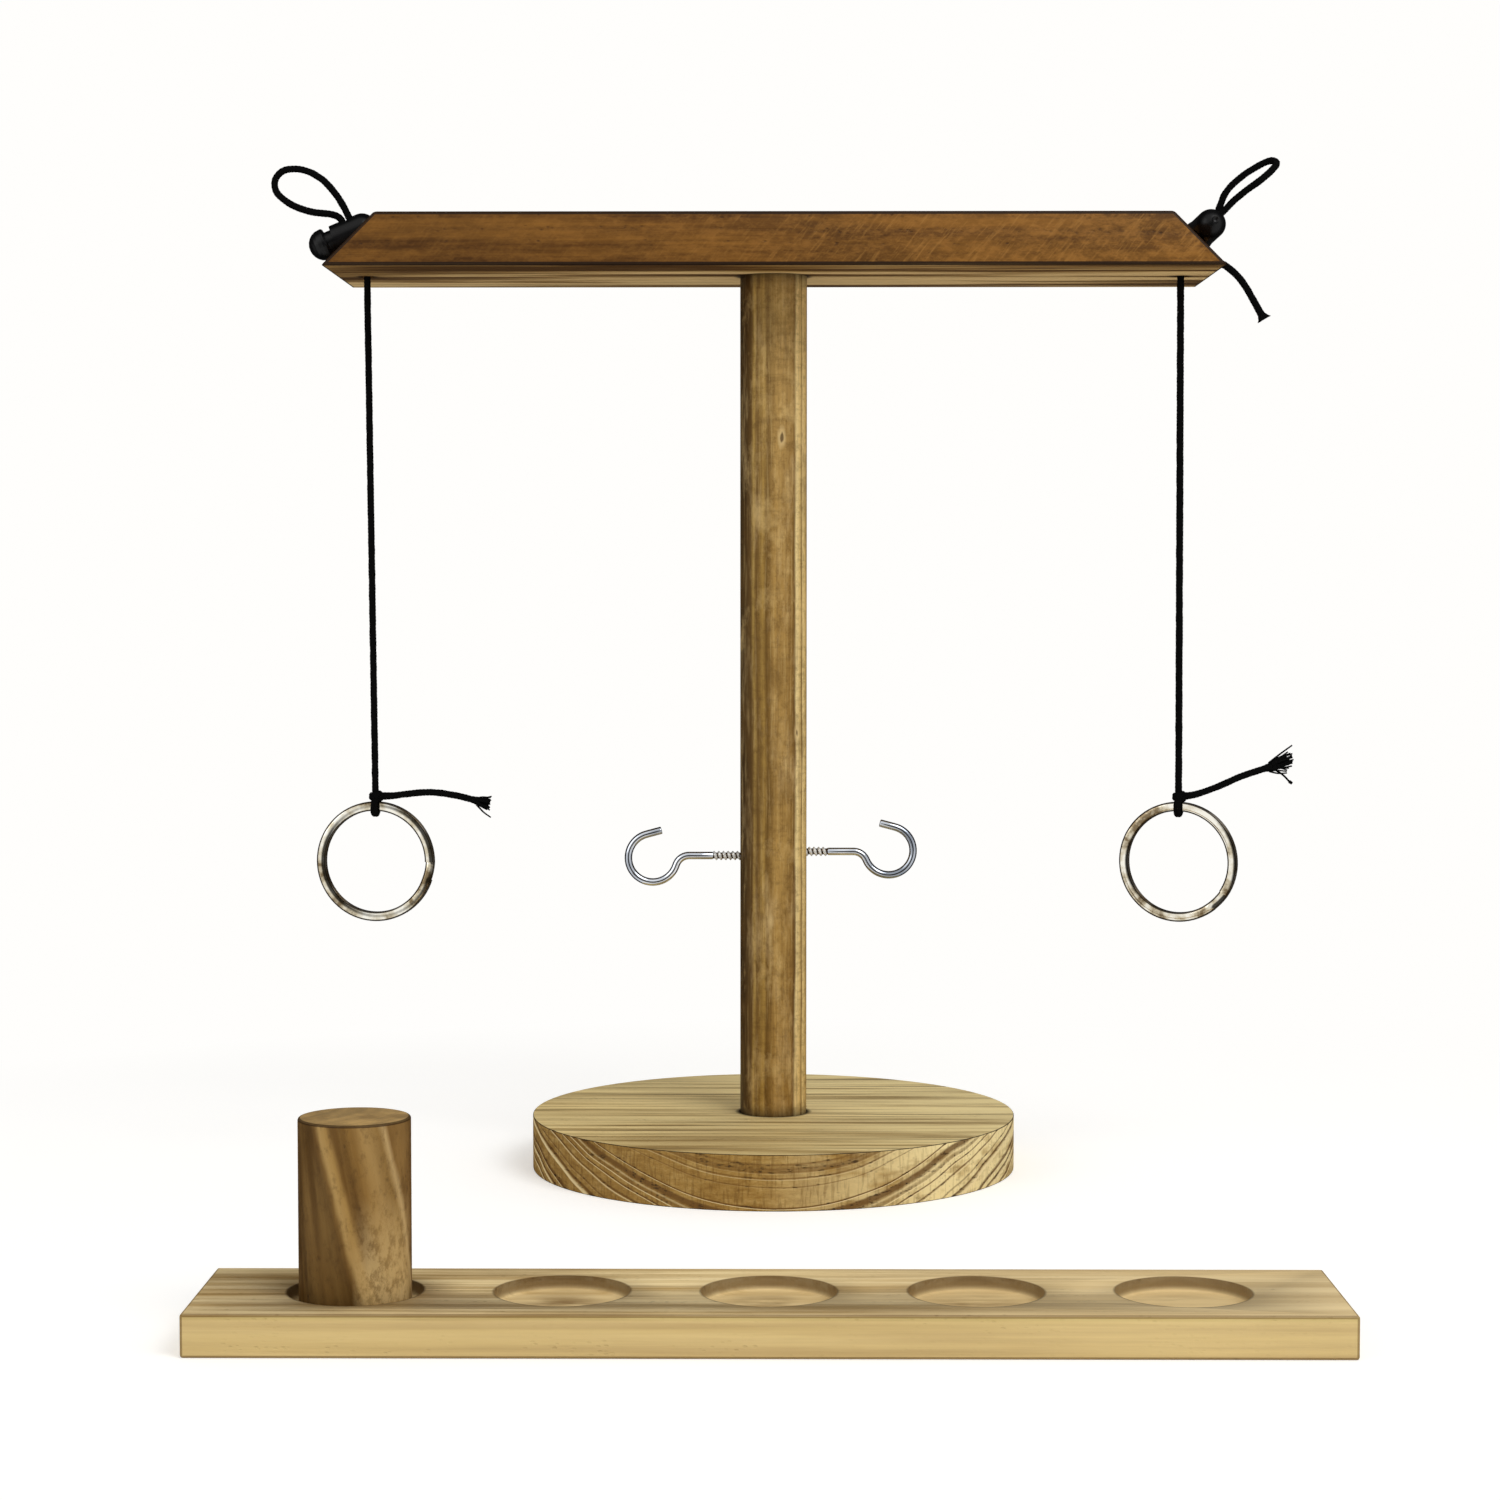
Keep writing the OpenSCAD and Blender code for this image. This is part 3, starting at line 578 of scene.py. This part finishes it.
post_wood, tree, shader, spot, colour, _ = wood(
    "post_wood", (182, 144, 78), (124, 88, 36), (62, 40, 10), location=(0, 0.02, 0.03),
    rotation=(0, math.radians(90), 0), ring_width=0.0034, waver=0.002, ring_share=0.25, line_share=0.3,
    stain_share=0.4)
wavy = minus(tree, stretched(tree, spot, (60, 60, 11), 4), 0.5)
place = xyz_of(tree, spot)
round_share = plus(tree, turn_share(tree, spot), times(tree, wavy, 0.05))
# The stripes round the post carry the grain with painted shade on the left and painted light towards the
# right.
stripes_and_shade_stops = [
    (0.0, 12, 6, 0), (0.07, 26, 14, 2), (0.1, 58, 38, 10), (0.135, 80, 54, 16),
    (0.15, 182, 148, 76), (0.165, 104, 74, 24), (0.2, 176, 140, 68), (0.215, 104, 74, 24),
    (0.26, 180, 142, 76), (0.31, 164, 128, 66), (0.345, 140, 104, 46), (0.358, 84, 56, 18),
    (0.37, 255, 228, 162), (0.4, 232, 198, 124), (0.409, 110, 78, 28), (0.42, 250, 220, 150),
    (0.46, 216, 180, 106), (0.5, 112, 80, 32), (0.58, 150, 114, 54), (0.66, 104, 72, 26),
    (0.74, 166, 132, 70), (0.84, 112, 80, 30), (0.94, 138, 104, 46), (1.0, 24, 14, 4)]
colour = mixed(tree, 0.84, colour, ramp(tree, round_share, stripes_and_shade_stops))
# Painted light: it is paler near the top, away from its left side.
painted_top_light = grade(tree, plus(tree, place[2], times(tree, wavy, 0.06)), 0.19, 0.26, 0, 0.3)
colour = tinted(tree, colour, painted_top_light, grade(tree, round_share, 0.12, 0.2), tone(214, 178, 112))
cross = stretched(tree, spot, (160, 160, 620), 4, 0.7)
colour = tinted(tree, colour, grade(tree, cross, 0.5, 0.66), 0.3, tone(92, 64, 24))
haze = stretched(tree, spot, (120, 120, 26), 5, 0.7)
colour = tinted(tree, colour, grade(tree, haze, 0.52, 0.7), 0.5, tone(222, 190, 132))
thin = stretched(tree, spot, (1300, 1300, 46), 4, 0.6)
mottle = stretched(tree, spot, (520, 520, 330), 5, 0.75, rotation=(0.5, 0.4, 0.3))
cloud = stretched(tree, spot, (70, 70, 42), 6, 0.7)
colour = tinted(tree, colour, grade(tree, thin, 0.52, 0.64), 0.25, tone(92, 62, 22))
colour = tinted(tree, colour, grade(tree, thin, 0.45, 0.36), 0.2, tone(228, 196, 130))
colour = tinted(tree, colour, grade(tree, mottle, 0.5, 0.62), 0.3, tone(84, 56, 18))
colour = tinted(tree, colour, grade(tree, cloud, 0.5, 0.64), 0.4, tone(104, 74, 28))
colour = tinted(tree, colour, grade(tree, cloud, 0.46, 0.34), 0.4, tone(226, 192, 126))
for dent in ((0.0025, -0.0101, 0.226), (0.0072, -0.0074, 0.1355), (-0.0009, -0.0103, 0.0775)):
    off = plus(tree, far_from(tree, spot, dent, (1, 1, 0.4)), times(tree, minus(tree, haze, 0.5), 0.003))
    colour = mixed(tree, grade(tree, off, 0.0015, 0.0006, 0, 0.6), colour, tone(224, 194, 136))
    colour = mixed(tree, grade(tree, off, 0.0006, 0.0003, 0, 0.8), colour, tone(70, 44, 14))
# Painted shade darkens it where it enters the disc and the beam.
for joint, fade in ((DISC_T, DISC_T + 0.004), (BEAM_Z, BEAM_Z - 0.0045)):
    colour = mixed(tree, grade(tree, place[2], fade, joint, 0, 0.65), colour, tone(34, 20, 6))
edge_dark(tree, shader, colour, tone(40, 24, 8))
bm = turned([(0, POST_LOW), (POST_R, POST_LOW), (POST_R, POST_HIGH), (0, POST_HIGH)], 96)
soften(bm, 0.0004)
built("post_dowel", bm, "stand", post_wood, ["post"])

# The crossbeam: a flat batten with its ends cut at 45 degrees, stained dark on its faces and top and
# nearly bare below. A bored socket takes the post, and one hole near each end takes the cord.
BEAM_HALF, BEAM_T, BEAM_HALF_W = 0.135, 0.016, 0.035
CORD_HOLE_R, BEAM_SOCKET = 0.0023, 0.009
beam_dark = tone(36, 20, 6)
beam_wood, tree, shader, spot, colour, out = wood(
    "beam_wood", (130, 86, 30), (84, 50, 10), (46, 24, 2), location=(0, 0.012, -0.262), ring_width=0.0038,
    waver=0.004, coarse=1.2, ring_share=0.2, bright_share=0.15, line_share=0.2, stain_share=0.5)
along = xyz_of(tree, spot)
patchy = stretched(tree, spot, (150, 330, 330), 6, 0.8, rotation=(0.5, 0.4, 0.3))
lighter = times(tree, grade(tree, along[0], -0.08, 0.12, 0.35, 1), grade(tree, patchy, 0.44, 0.62))
colour = tinted(tree, colour, lighter, 0.6, tone(166, 114, 50))
# Faint sanding scratches lean across the right half of the front.
leaning = placed(tree, spot, rotation=(0, math.radians(50), 0))
scratches = times(tree, grade(tree, stretched(tree, leaning, (130, 130, 1300), 4, 0.65), 0.52, 0.7),
                  grade(tree, along[0], -0.04, 0.03, 0.1, 0.5))
colour = mixed(tree, scratches, colour, tone(172, 122, 58))
under = stretched(tree, spot, (5, 75, 75), 4, 0.6)
bare_wood = ramp(tree, under, [(0.4, 88, 58, 20), (0.49, 156, 120, 66), (0.56, 220, 186, 126)])
bare_wood = tinted(tree, bare_wood, out["Lines"], 0.4, tone(70, 46, 18))
for x, edge_r in ((-HOLE_X, CORD_HOLE_R), (HOLE_X, CORD_HOLE_R), (0, SOCKET_R)):
    off = far_from(tree, spot, (x, 0, BEAM_Z), (1, 1, 0))
    bare_wood = mixed(tree, grade(tree, off, edge_r + 0.0022, edge_r + 0.0004, 0, 0.8), bare_wood, beam_dark)
colour = mixed(tree, marked(tree, "bare"), colour, bare_wood)
edge_dark(tree, shader, colour, beam_dark, 0.95)


def carve(piece, cutter_bm):
    """Cuts a closed bmesh out of a piece."""
    cutter = bpy.data.objects.new("cutter", meshed("cutter", cutter_bm))
    scene.collection.objects.link(cutter)
    cut = piece.modifiers.new("cut", "BOOLEAN")
    cut.object = cutter
    cut.solver = "EXACT"
    carved = bpy.data.meshes.new_from_object(piece.evaluated_get(bpy.context.evaluated_depsgraph_get()))
    piece.modifiers.clear()
    old, name = piece.data, piece.data.name
    piece.data = carved
    bpy.data.meshes.remove(old)
    carved.name = name
    bpy.data.objects.remove(cutter)


def rod(radius, low, high, x=0):
    """A closed upright cylinder between two heights."""
    bm = turned([(0, low), (radius, low), (radius, high), (0, high)], 48)
    bmesh.ops.translate(bm, verts=bm.verts, vec=(x, 0, 0))
    return bm


bm = bmesh.new()
bmesh.ops.create_cube(bm, size=1)
bmesh.ops.scale(bm, verts=bm.verts, vec=(2 * BEAM_HALF, 2 * BEAM_HALF_W, BEAM_T))
bmesh.ops.translate(bm, verts=bm.verts, vec=(0, 0, BEAM_Z + BEAM_T / 2))
for vertex in bm.verts:
    if vertex.co.z > BEAM_Z + BEAM_T / 2:
        vertex.co.x -= math.copysign(BEAM_T, vertex.co.x)
mark_faces(bm, "bare", lambda face: face.normal.z < -0.9)
soften(bm, 0.001)
beam = built("beam_batten", bm, "stand", beam_wood, ["crossbeam"])
for sign in (-1, 1):
    carve(beam, rod(CORD_HOLE_R, BEAM_Z - 0.01, BEAM_Z + 0.03, sign * HOLE_X))
carve(beam, rod(SOCKET_R, BEAM_Z - 0.01, BEAM_Z + BEAM_SOCKET))

# The hooks: zinc-plated screw hooks of 2.35 mm wire, screwed into drilled holes in the post. Their
# threads end a little outside the wood, and their curls open up and towards the post.
zinc, tree, shader, coordinates = new_material("zinc", Metallic=1.0)
drawn = stretched(tree, coordinates["Object"], (60, 900, 60), 3)
feed(tree, shader, Base_Color=ramp(tree, drawn, [(0.35, 140, 148, 160), (0.65, 230, 235, 243)]),
     Roughness=grade(tree, noise(tree, coordinates["Object"], 1200), 0.3, 0.7, 0.05, 0.12))
relief(tree, shader, drawn, 0.00002)
thread_zinc, tree, shader, coordinates = new_material("thread_zinc", Metallic=1.0)
grime = noise(tree, coordinates["Object"], 1600, 4)
# Dirt fills the roots of the thread, and the crests are rubbed bright.
crest = marked(tree, "crest")
dirty = ramp(tree, grime, [(0.35, 34, 24, 14), (0.65, 86, 70, 50)])
bright = ramp(tree, grime, [(0.35, 206, 204, 198), (0.6, 250, 250, 248)])
feed(tree, shader, Base_Color=mixed(tree, crest, dirty, bright), Metallic=grade(tree, crest, 0, 1, 1, 0.45),
     Roughness=grade(tree, grime, 0.3, 0.7, 0.5, 0.25))
HOOK_R, CURL_R, BEND_R, TIP_AT, TIP = 0.001175, 0.0076, 0.0043, 75, 0.0049
HOOKS = {  # shank height, curl's distance out, curl's rise, thread that shows
    "left": (0.0968, 0.0273, -0.0007, 0.0089),
    "right": (0.0981, 0.0256, 0.0003, 0.007),
}
THREAD_IN, THREAD_R, THREAD_ROOT, PITCH = 0.007, 0.00145, 0.00094, 0.00145
for side, sign in SIDES.items():
    shank_z, curl_out, rise, thread_out = HOOKS[side]
    curl = Vector((POST_R + curl_out, 0, rise))
    bend_x = curl.x - math.sqrt((CURL_R + BEND_R) ** 2 - (rise + BEND_R) ** 2)
    join = math.atan2(rise + BEND_R, curl.x - bend_x)
    shank_from = POST_R + thread_out - 0.0004
    bm = bmesh.new()
    start = bmesh.ops.create_circle(bm, segments=24, radius=HOOK_R)["verts"]
    bmesh.ops.rotate(bm, verts=start, matrix=Matrix.Rotation(math.pi / 2, 3, "Y"))
    bmesh.ops.translate(bm, verts=start, vec=(shank_from, 0, 0))

    def extruded(edges, vec):
        made = bmesh.ops.extrude_edge_only(bm, edges=edges)["geom"]
        bmesh.ops.translate(bm, verts=[g for g in made if isinstance(g, bmesh.types.BMVert)], vec=vec)
        return [g for g in made if isinstance(g, bmesh.types.BMEdge) and all(
            v in made for v in g.verts) and not g.link_faces[1:]]

    def spun(edges, centre, angle, steps):
        made = bmesh.ops.spin(bm, geom=edges, cent=centre, axis=(0, -1, 0), angle=angle, steps=steps)
        return [g for g in made["geom_last"] if isinstance(g, bmesh.types.BMEdge)]

    edges = bm.edges[:]
    bmesh.ops.holes_fill(bm, edges=edges)
    edges = extruded(edges, (bend_x - shank_from, 0, 0))
    edges = spun(edges, (bend_x, 0, -BEND_R), join - math.pi / 2, 12)
    edges = spun(edges, curl, math.radians(180 + TIP_AT) - join, 40)
    tip = math.radians(TIP_AT)
    edges = extruded(edges, (-TIP * math.sin(tip), 0, TIP * math.cos(tip)))
    bmesh.ops.holes_fill(bm, edges=edges)
    bmesh.ops.recalc_face_normals(bm, faces=bm.faces)
    soften(bm, 0.00025, 2, 60)
    place = Matrix.Translation((0, 0, shank_z)) @ (Matrix.Rotation(math.pi, 4, "Z") if sign < 0 else Matrix())
    bmesh.ops.transform(bm, matrix=place, verts=bm.verts)
    built(f"{side}_hook_wire", bm, "stand", zinc, [f"{side}_hook"])

    # The thread is one rib wound round a core that runs out to a point.
    bm = bmesh.new()
    rib = [bm.verts.new(at) for at in ((0, THREAD_ROOT * 0.95, 0), (PITCH * 0.3, THREAD_R, 0),
                                       (PITCH * 0.42, THREAD_R, 0), (PITCH * 0.72, THREAD_ROOT * 0.95, 0))]
    rib_edges = [bm.edges.new((rib[i - 1], rib[i])) for i in range(4)]
    core_end = THREAD_IN + thread_out
    turns = (core_end - 0.0022) / PITCH
    steps = round(turns * 28)
    bmesh.ops.spin(bm, geom=rib + rib_edges, cent=(0, 0, 0), axis=(1, 0, 0),
                   dvec=(turns * PITCH / steps, 0, 0), angle=2 * math.pi * turns, steps=steps)
    bmesh.ops.holes_fill(bm, edges=[e for e in bm.edges if e.is_boundary])
    bmesh.ops.translate(bm, verts=bm.verts, vec=(POST_R - THREAD_IN + 0.0012, 0, 0))
    core = turned([(0, 0), (THREAD_ROOT, 0.002), (THREAD_ROOT, core_end), (0, core_end)], 28)
    along_x = Matrix.Translation((POST_R - THREAD_IN, 0, 0)) @ Matrix.Rotation(math.pi / 2, 4, "Y")
    bmesh.ops.transform(core, matrix=along_x, verts=core.verts)
    core_mesh = meshed("core", core)
    bm.from_mesh(core_mesh)
    bpy.data.meshes.remove(core_mesh)
    bmesh.ops.recalc_face_normals(bm, faces=bm.faces)
    mark_faces(bm, "crest", lambda face: face.calc_center_median().yz.length > THREAD_ROOT + 0.00015)
    bmesh.ops.transform(bm, matrix=place, verts=bm.verts)
    built(f"{side}_hook_thread", bm, "stand", thread_zinc)

# The rings: nickel-plated split rings, each one flat spring wire wound twice, with its edges rolled
# round. The cut end of the front turn shows as a small step, and a dark line runs between the turns.
nickel, tree, shader, coordinates = new_material("nickel", Metallic=1.0)
wear_and_painted_light = noise(tree, coordinates["Object"], 130, 4, 0.6)
clean = ramp(tree, wear_and_painted_light, [(0.4, 126, 110, 84), (0.48, 206, 196, 172), (0.6, 246, 243, 232)])
# The rolled edges, between the turns too, are darkened by painted shade and some grime.
feed(tree, shader, Base_Color=tinted(tree, clean, marked(tree, "rolled"), 0.95, tone(36, 27, 16)),
     Roughness=grade(tree, wear_and_painted_light, 0.3, 0.7, 0.16, 0.07))
relief(tree, shader, noise(tree, coordinates["Object"], 900, 2), 0.000008)
WIRE_RING_R, BAND_W, BAND_T, TURN_STEP, ROLL, CROWN = 0.01725, 0.0029, 0.0012, 0.0013, 0.0003, 0.00026
SPLIT_AT = {"left": 0, "right": math.radians(-33)}
RAMP = math.radians(18)
for side in SIDES:
    # The wire's flat sides are slightly crowned, from the drawing.
    bm = bmesh.new()
    section = bmesh.ops.create_grid(bm, x_segments=1, y_segments=1, size=0.5)["verts"]
    bmesh.ops.scale(bm, verts=section, vec=(BAND_W, BAND_T, 1))
    bmesh.ops.bevel(bm, geom=bm.verts[:], offset=ROLL, offset_type="OFFSET", segments=4, profile=0.5,
                    affect="VERTICES", material=-1)
    flats = [e for e in bm.edges if e.calc_length() > BAND_W / 2]
    bmesh.ops.subdivide_edges(bm, edges=flats, cuts=11)
    for vertex in bm.verts:
        vertex.co.y *= 1 - 2 * CROWN / BAND_T * (2 * vertex.co.x / BAND_W) ** 2
    bmesh.ops.translate(bm, verts=bm.verts, vec=(WIRE_RING_R, -TURN_STEP / 2, 0))
    geom = bm.verts[:] + bm.edges[:] + bm.faces[:]
    level_turn = (2 * math.pi - RAMP, 0, 76)
    for angle, shift, steps in (level_turn, (RAMP, TURN_STEP, 6), level_turn):
        made = bmesh.ops.spin(bm, geom=geom, cent=(0, 0, 0), axis=(0, -1, 0), angle=angle, steps=steps,
                              dvec=(0, shift / steps, 0), use_duplicate=False)
        geom = made["geom_last"]
    bmesh.ops.recalc_face_normals(bm, faces=bm.faces)
    mark_faces(bm, "rolled", lambda face: abs(face.normal.y) > 0.25 and
               abs(face.calc_center_median().xz.length - WIRE_RING_R) > BAND_W / 2 - 0.00042)
    hung = Matrix.Translation((RING_X[side], 0, WIRE_Z - WIRE_RING_R))
    hung = hung @ Matrix.Rotation(RING_TURN[side], 4, "Z") @ Matrix.Rotation(-SPLIT_AT[side], 4, "Y")
    bmesh.ops.transform(bm, verts=bm.verts, matrix=hung)
    built(f"{side}_split_ring", bm, f"{side}_ring", nickel, [f"{side}_ring"])

# The cord locks: moulded black plastic, each a barrel with a domed end and a plunger with a mushroom
# button. Both strands pass through the cross hole, which a spring inside holds shut on them.
lock_plastic, tree, shader, coordinates = new_material("lock_plastic", Specular_IOR_Level=0.22)
moulded = noise(tree, coordinates["Object"], 300)
feed(tree, shader, Base_Color=ramp(tree, moulded, [(0.3, 4, 4, 5), (0.7, 12, 12, 13)]),
     Roughness=grade(tree, noise(tree, coordinates["Object"], 900), 0.3, 0.7, 0.28, 0.36))
relief(tree, shader, noise(tree, coordinates["Object"], 2200, 2), 0.000004)
for side in SIDES:
    for node in ("barrel", "plunger"):
        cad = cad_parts[f"{side}_lock_{node}"]
        cad.data.materials.clear()
        cad.data.materials.append(lock_plastic)
    coil = bmesh.new()
    coil.from_mesh(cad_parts[f"{side}_lock_spring"].data)
    bmesh.ops.remove_doubles(coil, verts=coil.verts, dist=1e-6)
    spring = built(f"{side}_spring_coil", coil, "stand", screw_steel, [f"{side}_lock_spring"])
    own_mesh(spring)

# The ladder board: a separate board of pale pine with five round places for the marker, cut with a
# cove bit. The first player to walk the marker to the far end wins.
BOARD_X, BOARD_Y, BOARD_L, BOARD_W, BOARD_T = -0.001, -0.222, 0.276, 0.05, 0.0105
PLACES, PLACE_R, PLACE_DEPTH, PLACE_PITCH, COVE = 5, 0.0165, 0.0036, 0.05, 0.0016
board_wood, tree, shader, spot, colour, _ = wood(
    "board_wood", (248, 224, 170), (192, 158, 98), (112, 78, 30), location=(0, 0.2, 0.012),
    ring_width=0.006, waver=0.008, coarse=1.3, ring_share=0.2, bright_share=0.4, line_share=0.34,
    stain_share=0.36, pit_share=0.5)
# The front was planed after staining, so it is yellower and plainer.
front = marked(tree, "front")
planed = stretched(tree, spot, (7, 40, 330), 4, 0.6)
planed = ramp(tree, planed, [(0.4, 152, 122, 62), (0.5, 186, 160, 94), (0.6, 208, 184, 114)])
colour = tinted(tree, colour, front, 0.7, planed)
# Painted light: the top is paler towards the right.
place = xyz_of(tree, spot)
painted_light = times(tree, grade(tree, place[0], -0.02, 0.11, 0, 0.6), minus(tree, 1.0, front))
colour = mixed(tree, painted_light, colour, tone(244, 218, 166))
# Each place has a painted line of shade round its rim and a stain in the middle of its floor.
along = minus(tree, place[0], BOARD_X)
half_pitch = PLACE_PITCH / 2
nearest = add(tree, "Math", {0: along, 1: half_pitch, 2: -half_pitch}, operation="WRAP").outputs[0]
from_middle = add(tree, "CombineXYZ", {0: nearest, 1: minus(tree, place[1], BOARD_Y)}).outputs[0]
reach = vector_length(tree, from_middle)
low = grade(tree, place[2], BOARD_T - 0.0008, BOARD_T - 0.0016)
last_x = 2 * PLACE_PITCH + PLACE_R
on_board = grade(tree, maths(tree, "ABSOLUTE", along), last_x + 0.001, last_x + 0.002, 1, 0)
uneven = grade(tree, stretched(tree, spot, (35, 130, 130), 4), 0.4, 0.58)
blotch = times(tree, low, times(tree, grade(tree, reach, 0.0135, 0.003), uneven))
colour = tinted(tree, colour, low, 0.5, tone(240, 210, 150))
colour = tinted(tree, colour, blotch, 0.85, tone(122, 86, 36))
# Painted shade: a dark line round the rim of each place.
rim = times(tree, peak(tree, reach, PLACE_R, 0.0006), on_board)
colour = tinted(tree, colour, rim, 0.7, tone(74, 48, 18))
edge_dark(tree, shader, colour, tone(110, 78, 34), 0.6)
bm = bmesh.new()
bmesh.ops.create_cube(bm, size=1)
bmesh.ops.scale(bm, verts=bm.verts, vec=(BOARD_L, BOARD_W, BOARD_T))
bmesh.ops.translate(bm, verts=bm.verts, vec=(BOARD_X, BOARD_Y, BOARD_T / 2))
mark_faces(bm, "front", lambda face: abs(face.normal.y) > 0.9)
soften(bm, 0.0007)
board = built("board_of_pine", bm, "board", board_wood, ["ladder_board"])
floor_z = BOARD_T - PLACE_DEPTH
cove = [(PLACE_R - COVE + COVE * math.sin(math.radians(a)),
         floor_z + COVE - COVE * math.cos(math.radians(a))) for a in range(0, 91, 15)]
for number in range(PLACES):
    cutter = turned([(0, floor_z)] + cove + [(PLACE_R, 0.02), (0, 0.02)], 96)
    place_x = BOARD_X + (number - PLACES // 2) * PLACE_PITCH
    bmesh.ops.translate(cutter, verts=cutter.verts, vec=(place_x, BOARD_Y, 0))
    carve(board, cutter)

# The marker: a plain round peg sawn from a thicker dowel, with its grain running slightly across it.
# It stands loose in the first place of the board.
PEG_R, PEG_TOP, PEG_LEAN = 0.0136, 0.0529, 3.4
PEG_X = BOARD_X - 2 * PLACE_PITCH
peg_wood, tree, shader, spot, colour, _ = wood(
    "peg_wood", (186, 148, 84), (112, 78, 30), (44, 24, 2), location=(0.02, 0.2, -0.13),
    rotation=(0, math.radians(101), 0), ring_width=0.0065, waver=0.006, coarse=2.0, ring_share=0.5,
    bright_share=0.4, line_share=0.35, stain_share=0.5)
# Its left side is darker with painted shade, beside a paler band that leans across the front.
upright = placed(tree, spot, (-PEG_X, -BOARD_Y, 0))
place = xyz_of(tree, spot)
ripple = minus(tree, stretched(tree, spot, (90, 90, 30), 4), 0.5)
peg_round = turn_share(tree, upright)
leaning = plus(tree, peg_round, times(tree, minus(tree, place[2], 0.05), PEG_LEAN))
leaning = maths(tree, "FRACT", plus(tree, plus(tree, leaning, times(tree, ripple, 0.05)), 1.0))
# The stops carry the grain's bands and painted shade on the left.
peg_stops = [
    (0.0, 66, 42, 12), (0.06, 104, 74, 32), (0.1, 88, 60, 20), (0.14, 76, 50, 14),
    (0.155, 116, 84, 38), (0.17, 196, 160, 98), (0.19, 184, 146, 82), (0.205, 104, 72, 28),
    (0.225, 106, 74, 30), (0.26, 140, 104, 50), (0.3, 168, 134, 80), (0.34, 150, 116, 62),
    (0.36, 206, 174, 120), (0.375, 126, 92, 46), (0.42, 118, 84, 40), (0.5, 96, 66, 26),
    (0.62, 150, 114, 60), (0.74, 104, 72, 30), (0.86, 92, 62, 22), (1.0, 66, 42, 12)]
sawn = marked(tree, "sawn")
colour = tinted(tree, colour, minus(tree, 1.0, sawn), 0.7, ramp(tree, leaning, peg_stops))
speckle = stretched(tree, spot, (420, 420, 260), 5, 0.75)
colour = tinted(tree, colour, grade(tree, speckle, 0.52, 0.66), 0.35, tone(70, 46, 16))
rubbed = times(tree, grade(tree, place[2], 0.036, 0.014),
               times(tree, grade(tree, peg_round, 0.26, 0.31), grade(tree, peg_round, 0.5, 0.44)))
colour = tinted(tree, colour, rubbed, grade(tree, speckle, 0.6, 0.45, 0.3, 0.8), tone(226, 194, 134))
colour = tinted(tree, colour, sawn, 0.4, tone(214, 180, 122))
edge_dark(tree, shader, colour, tone(52, 32, 8), 0.8)
bm = turned([(0, floor_z), (PEG_R, floor_z), (PEG_R, PEG_TOP), (0, PEG_TOP)], 96)
mark_faces(bm, "sawn", lambda face: abs(face.normal.z) > 0.9)
soften(bm, 0.0006)
bmesh.ops.translate(bm, verts=bm.verts, vec=(PEG_X, BOARD_Y, 0))
built("peg_of_dowel", bm, "peg", peg_wood, ["marker_peg"])

# The studio: a white sweep under soft light from above and in front, as in a product photograph.
# Away from the object the sweep is as white as the backdrop, and near it it keeps the soft shadow.
WHITE = tone(255, 254, 252)
bm = bmesh.new()
bmesh.ops.create_grid(bm, x_segments=1, y_segments=1, size=6)
floor = bpy.data.objects.new("floor", meshed("floor", bm))
scene.collection.objects.link(floor)
floor.visible_glossy = False
paper, tree, shader, coordinates = new_material("paper", Roughness=1.0, Specular_IOR_Level=0.0,
                                                Emission_Color=WHITE)
away = grade(tree, far_from(tree, coordinates["Object"], (0, -0.1, 0)), 0.16, 0.42)
seen = add(tree, "LightPath").outputs["Is Camera Ray"]
feed(tree, shader, Base_Color=tinted(tree, tone(247, 247, 246), away, seen, tone(0, 0, 0)),
     Emission_Strength=times(tree, grade(tree, away, 0, 1, 0.33, 1), seen))
floor.data.materials.append(paper)

# Metal sees the white backdrop too, with a small dark card in front and the whole space behind the
# object dark, which draws its edges.
world = bpy.data.worlds.new("studio")
scene.world = world
world.use_nodes = True
tree = world.node_tree
seen = add(tree, "LightPath").outputs
direct = maths(tree, "MAXIMUM", seen["Is Camera Ray"],
               maths(tree, "MAXIMUM", seen["Is Glossy Ray"], seen["Is Transmission Ray"]))
heading = xyz_of(tree, add(tree, "TexCoord").outputs["Generated"])
card = maths(tree, "MAXIMUM", grade(tree, heading[1], -0.9, -0.96, 0, 0.93),
             grade(tree, heading[1], -0.3, -0.05, 0, 0.97))
dimmed = minus(tree, 1.0, times(tree, card, seen["Is Glossy Ray"]))
background = tree.nodes["Background"]
feed(tree, background, Strength=times(tree, grade(tree, direct, 0, 1, 0.5, 1.0), dimmed))
background.inputs["Color"].default_value = WHITE


def soft_box(name, place, aim, size, power):
    data = bpy.data.lights.new(name, "AREA")
    data.shape = "RECTANGLE"
    data.size, data.size_y = size
    data.energy = power
    lamp = bpy.data.objects.new(name, data)
    lamp.location = place
    lamp.rotation_euler = (Vector(aim) - Vector(place)).to_track_quat("-Z", "Y").to_euler()
    scene.collection.objects.link(lamp)


soft_box("key", (0.9, -1.2, 1.5), (0, 0, 0.15), (1.0, 1.0), 16)
soft_box("fill", (-1.3, -1.0, 0.8), (0, 0, 0.15), (0.8, 1.2), 3)
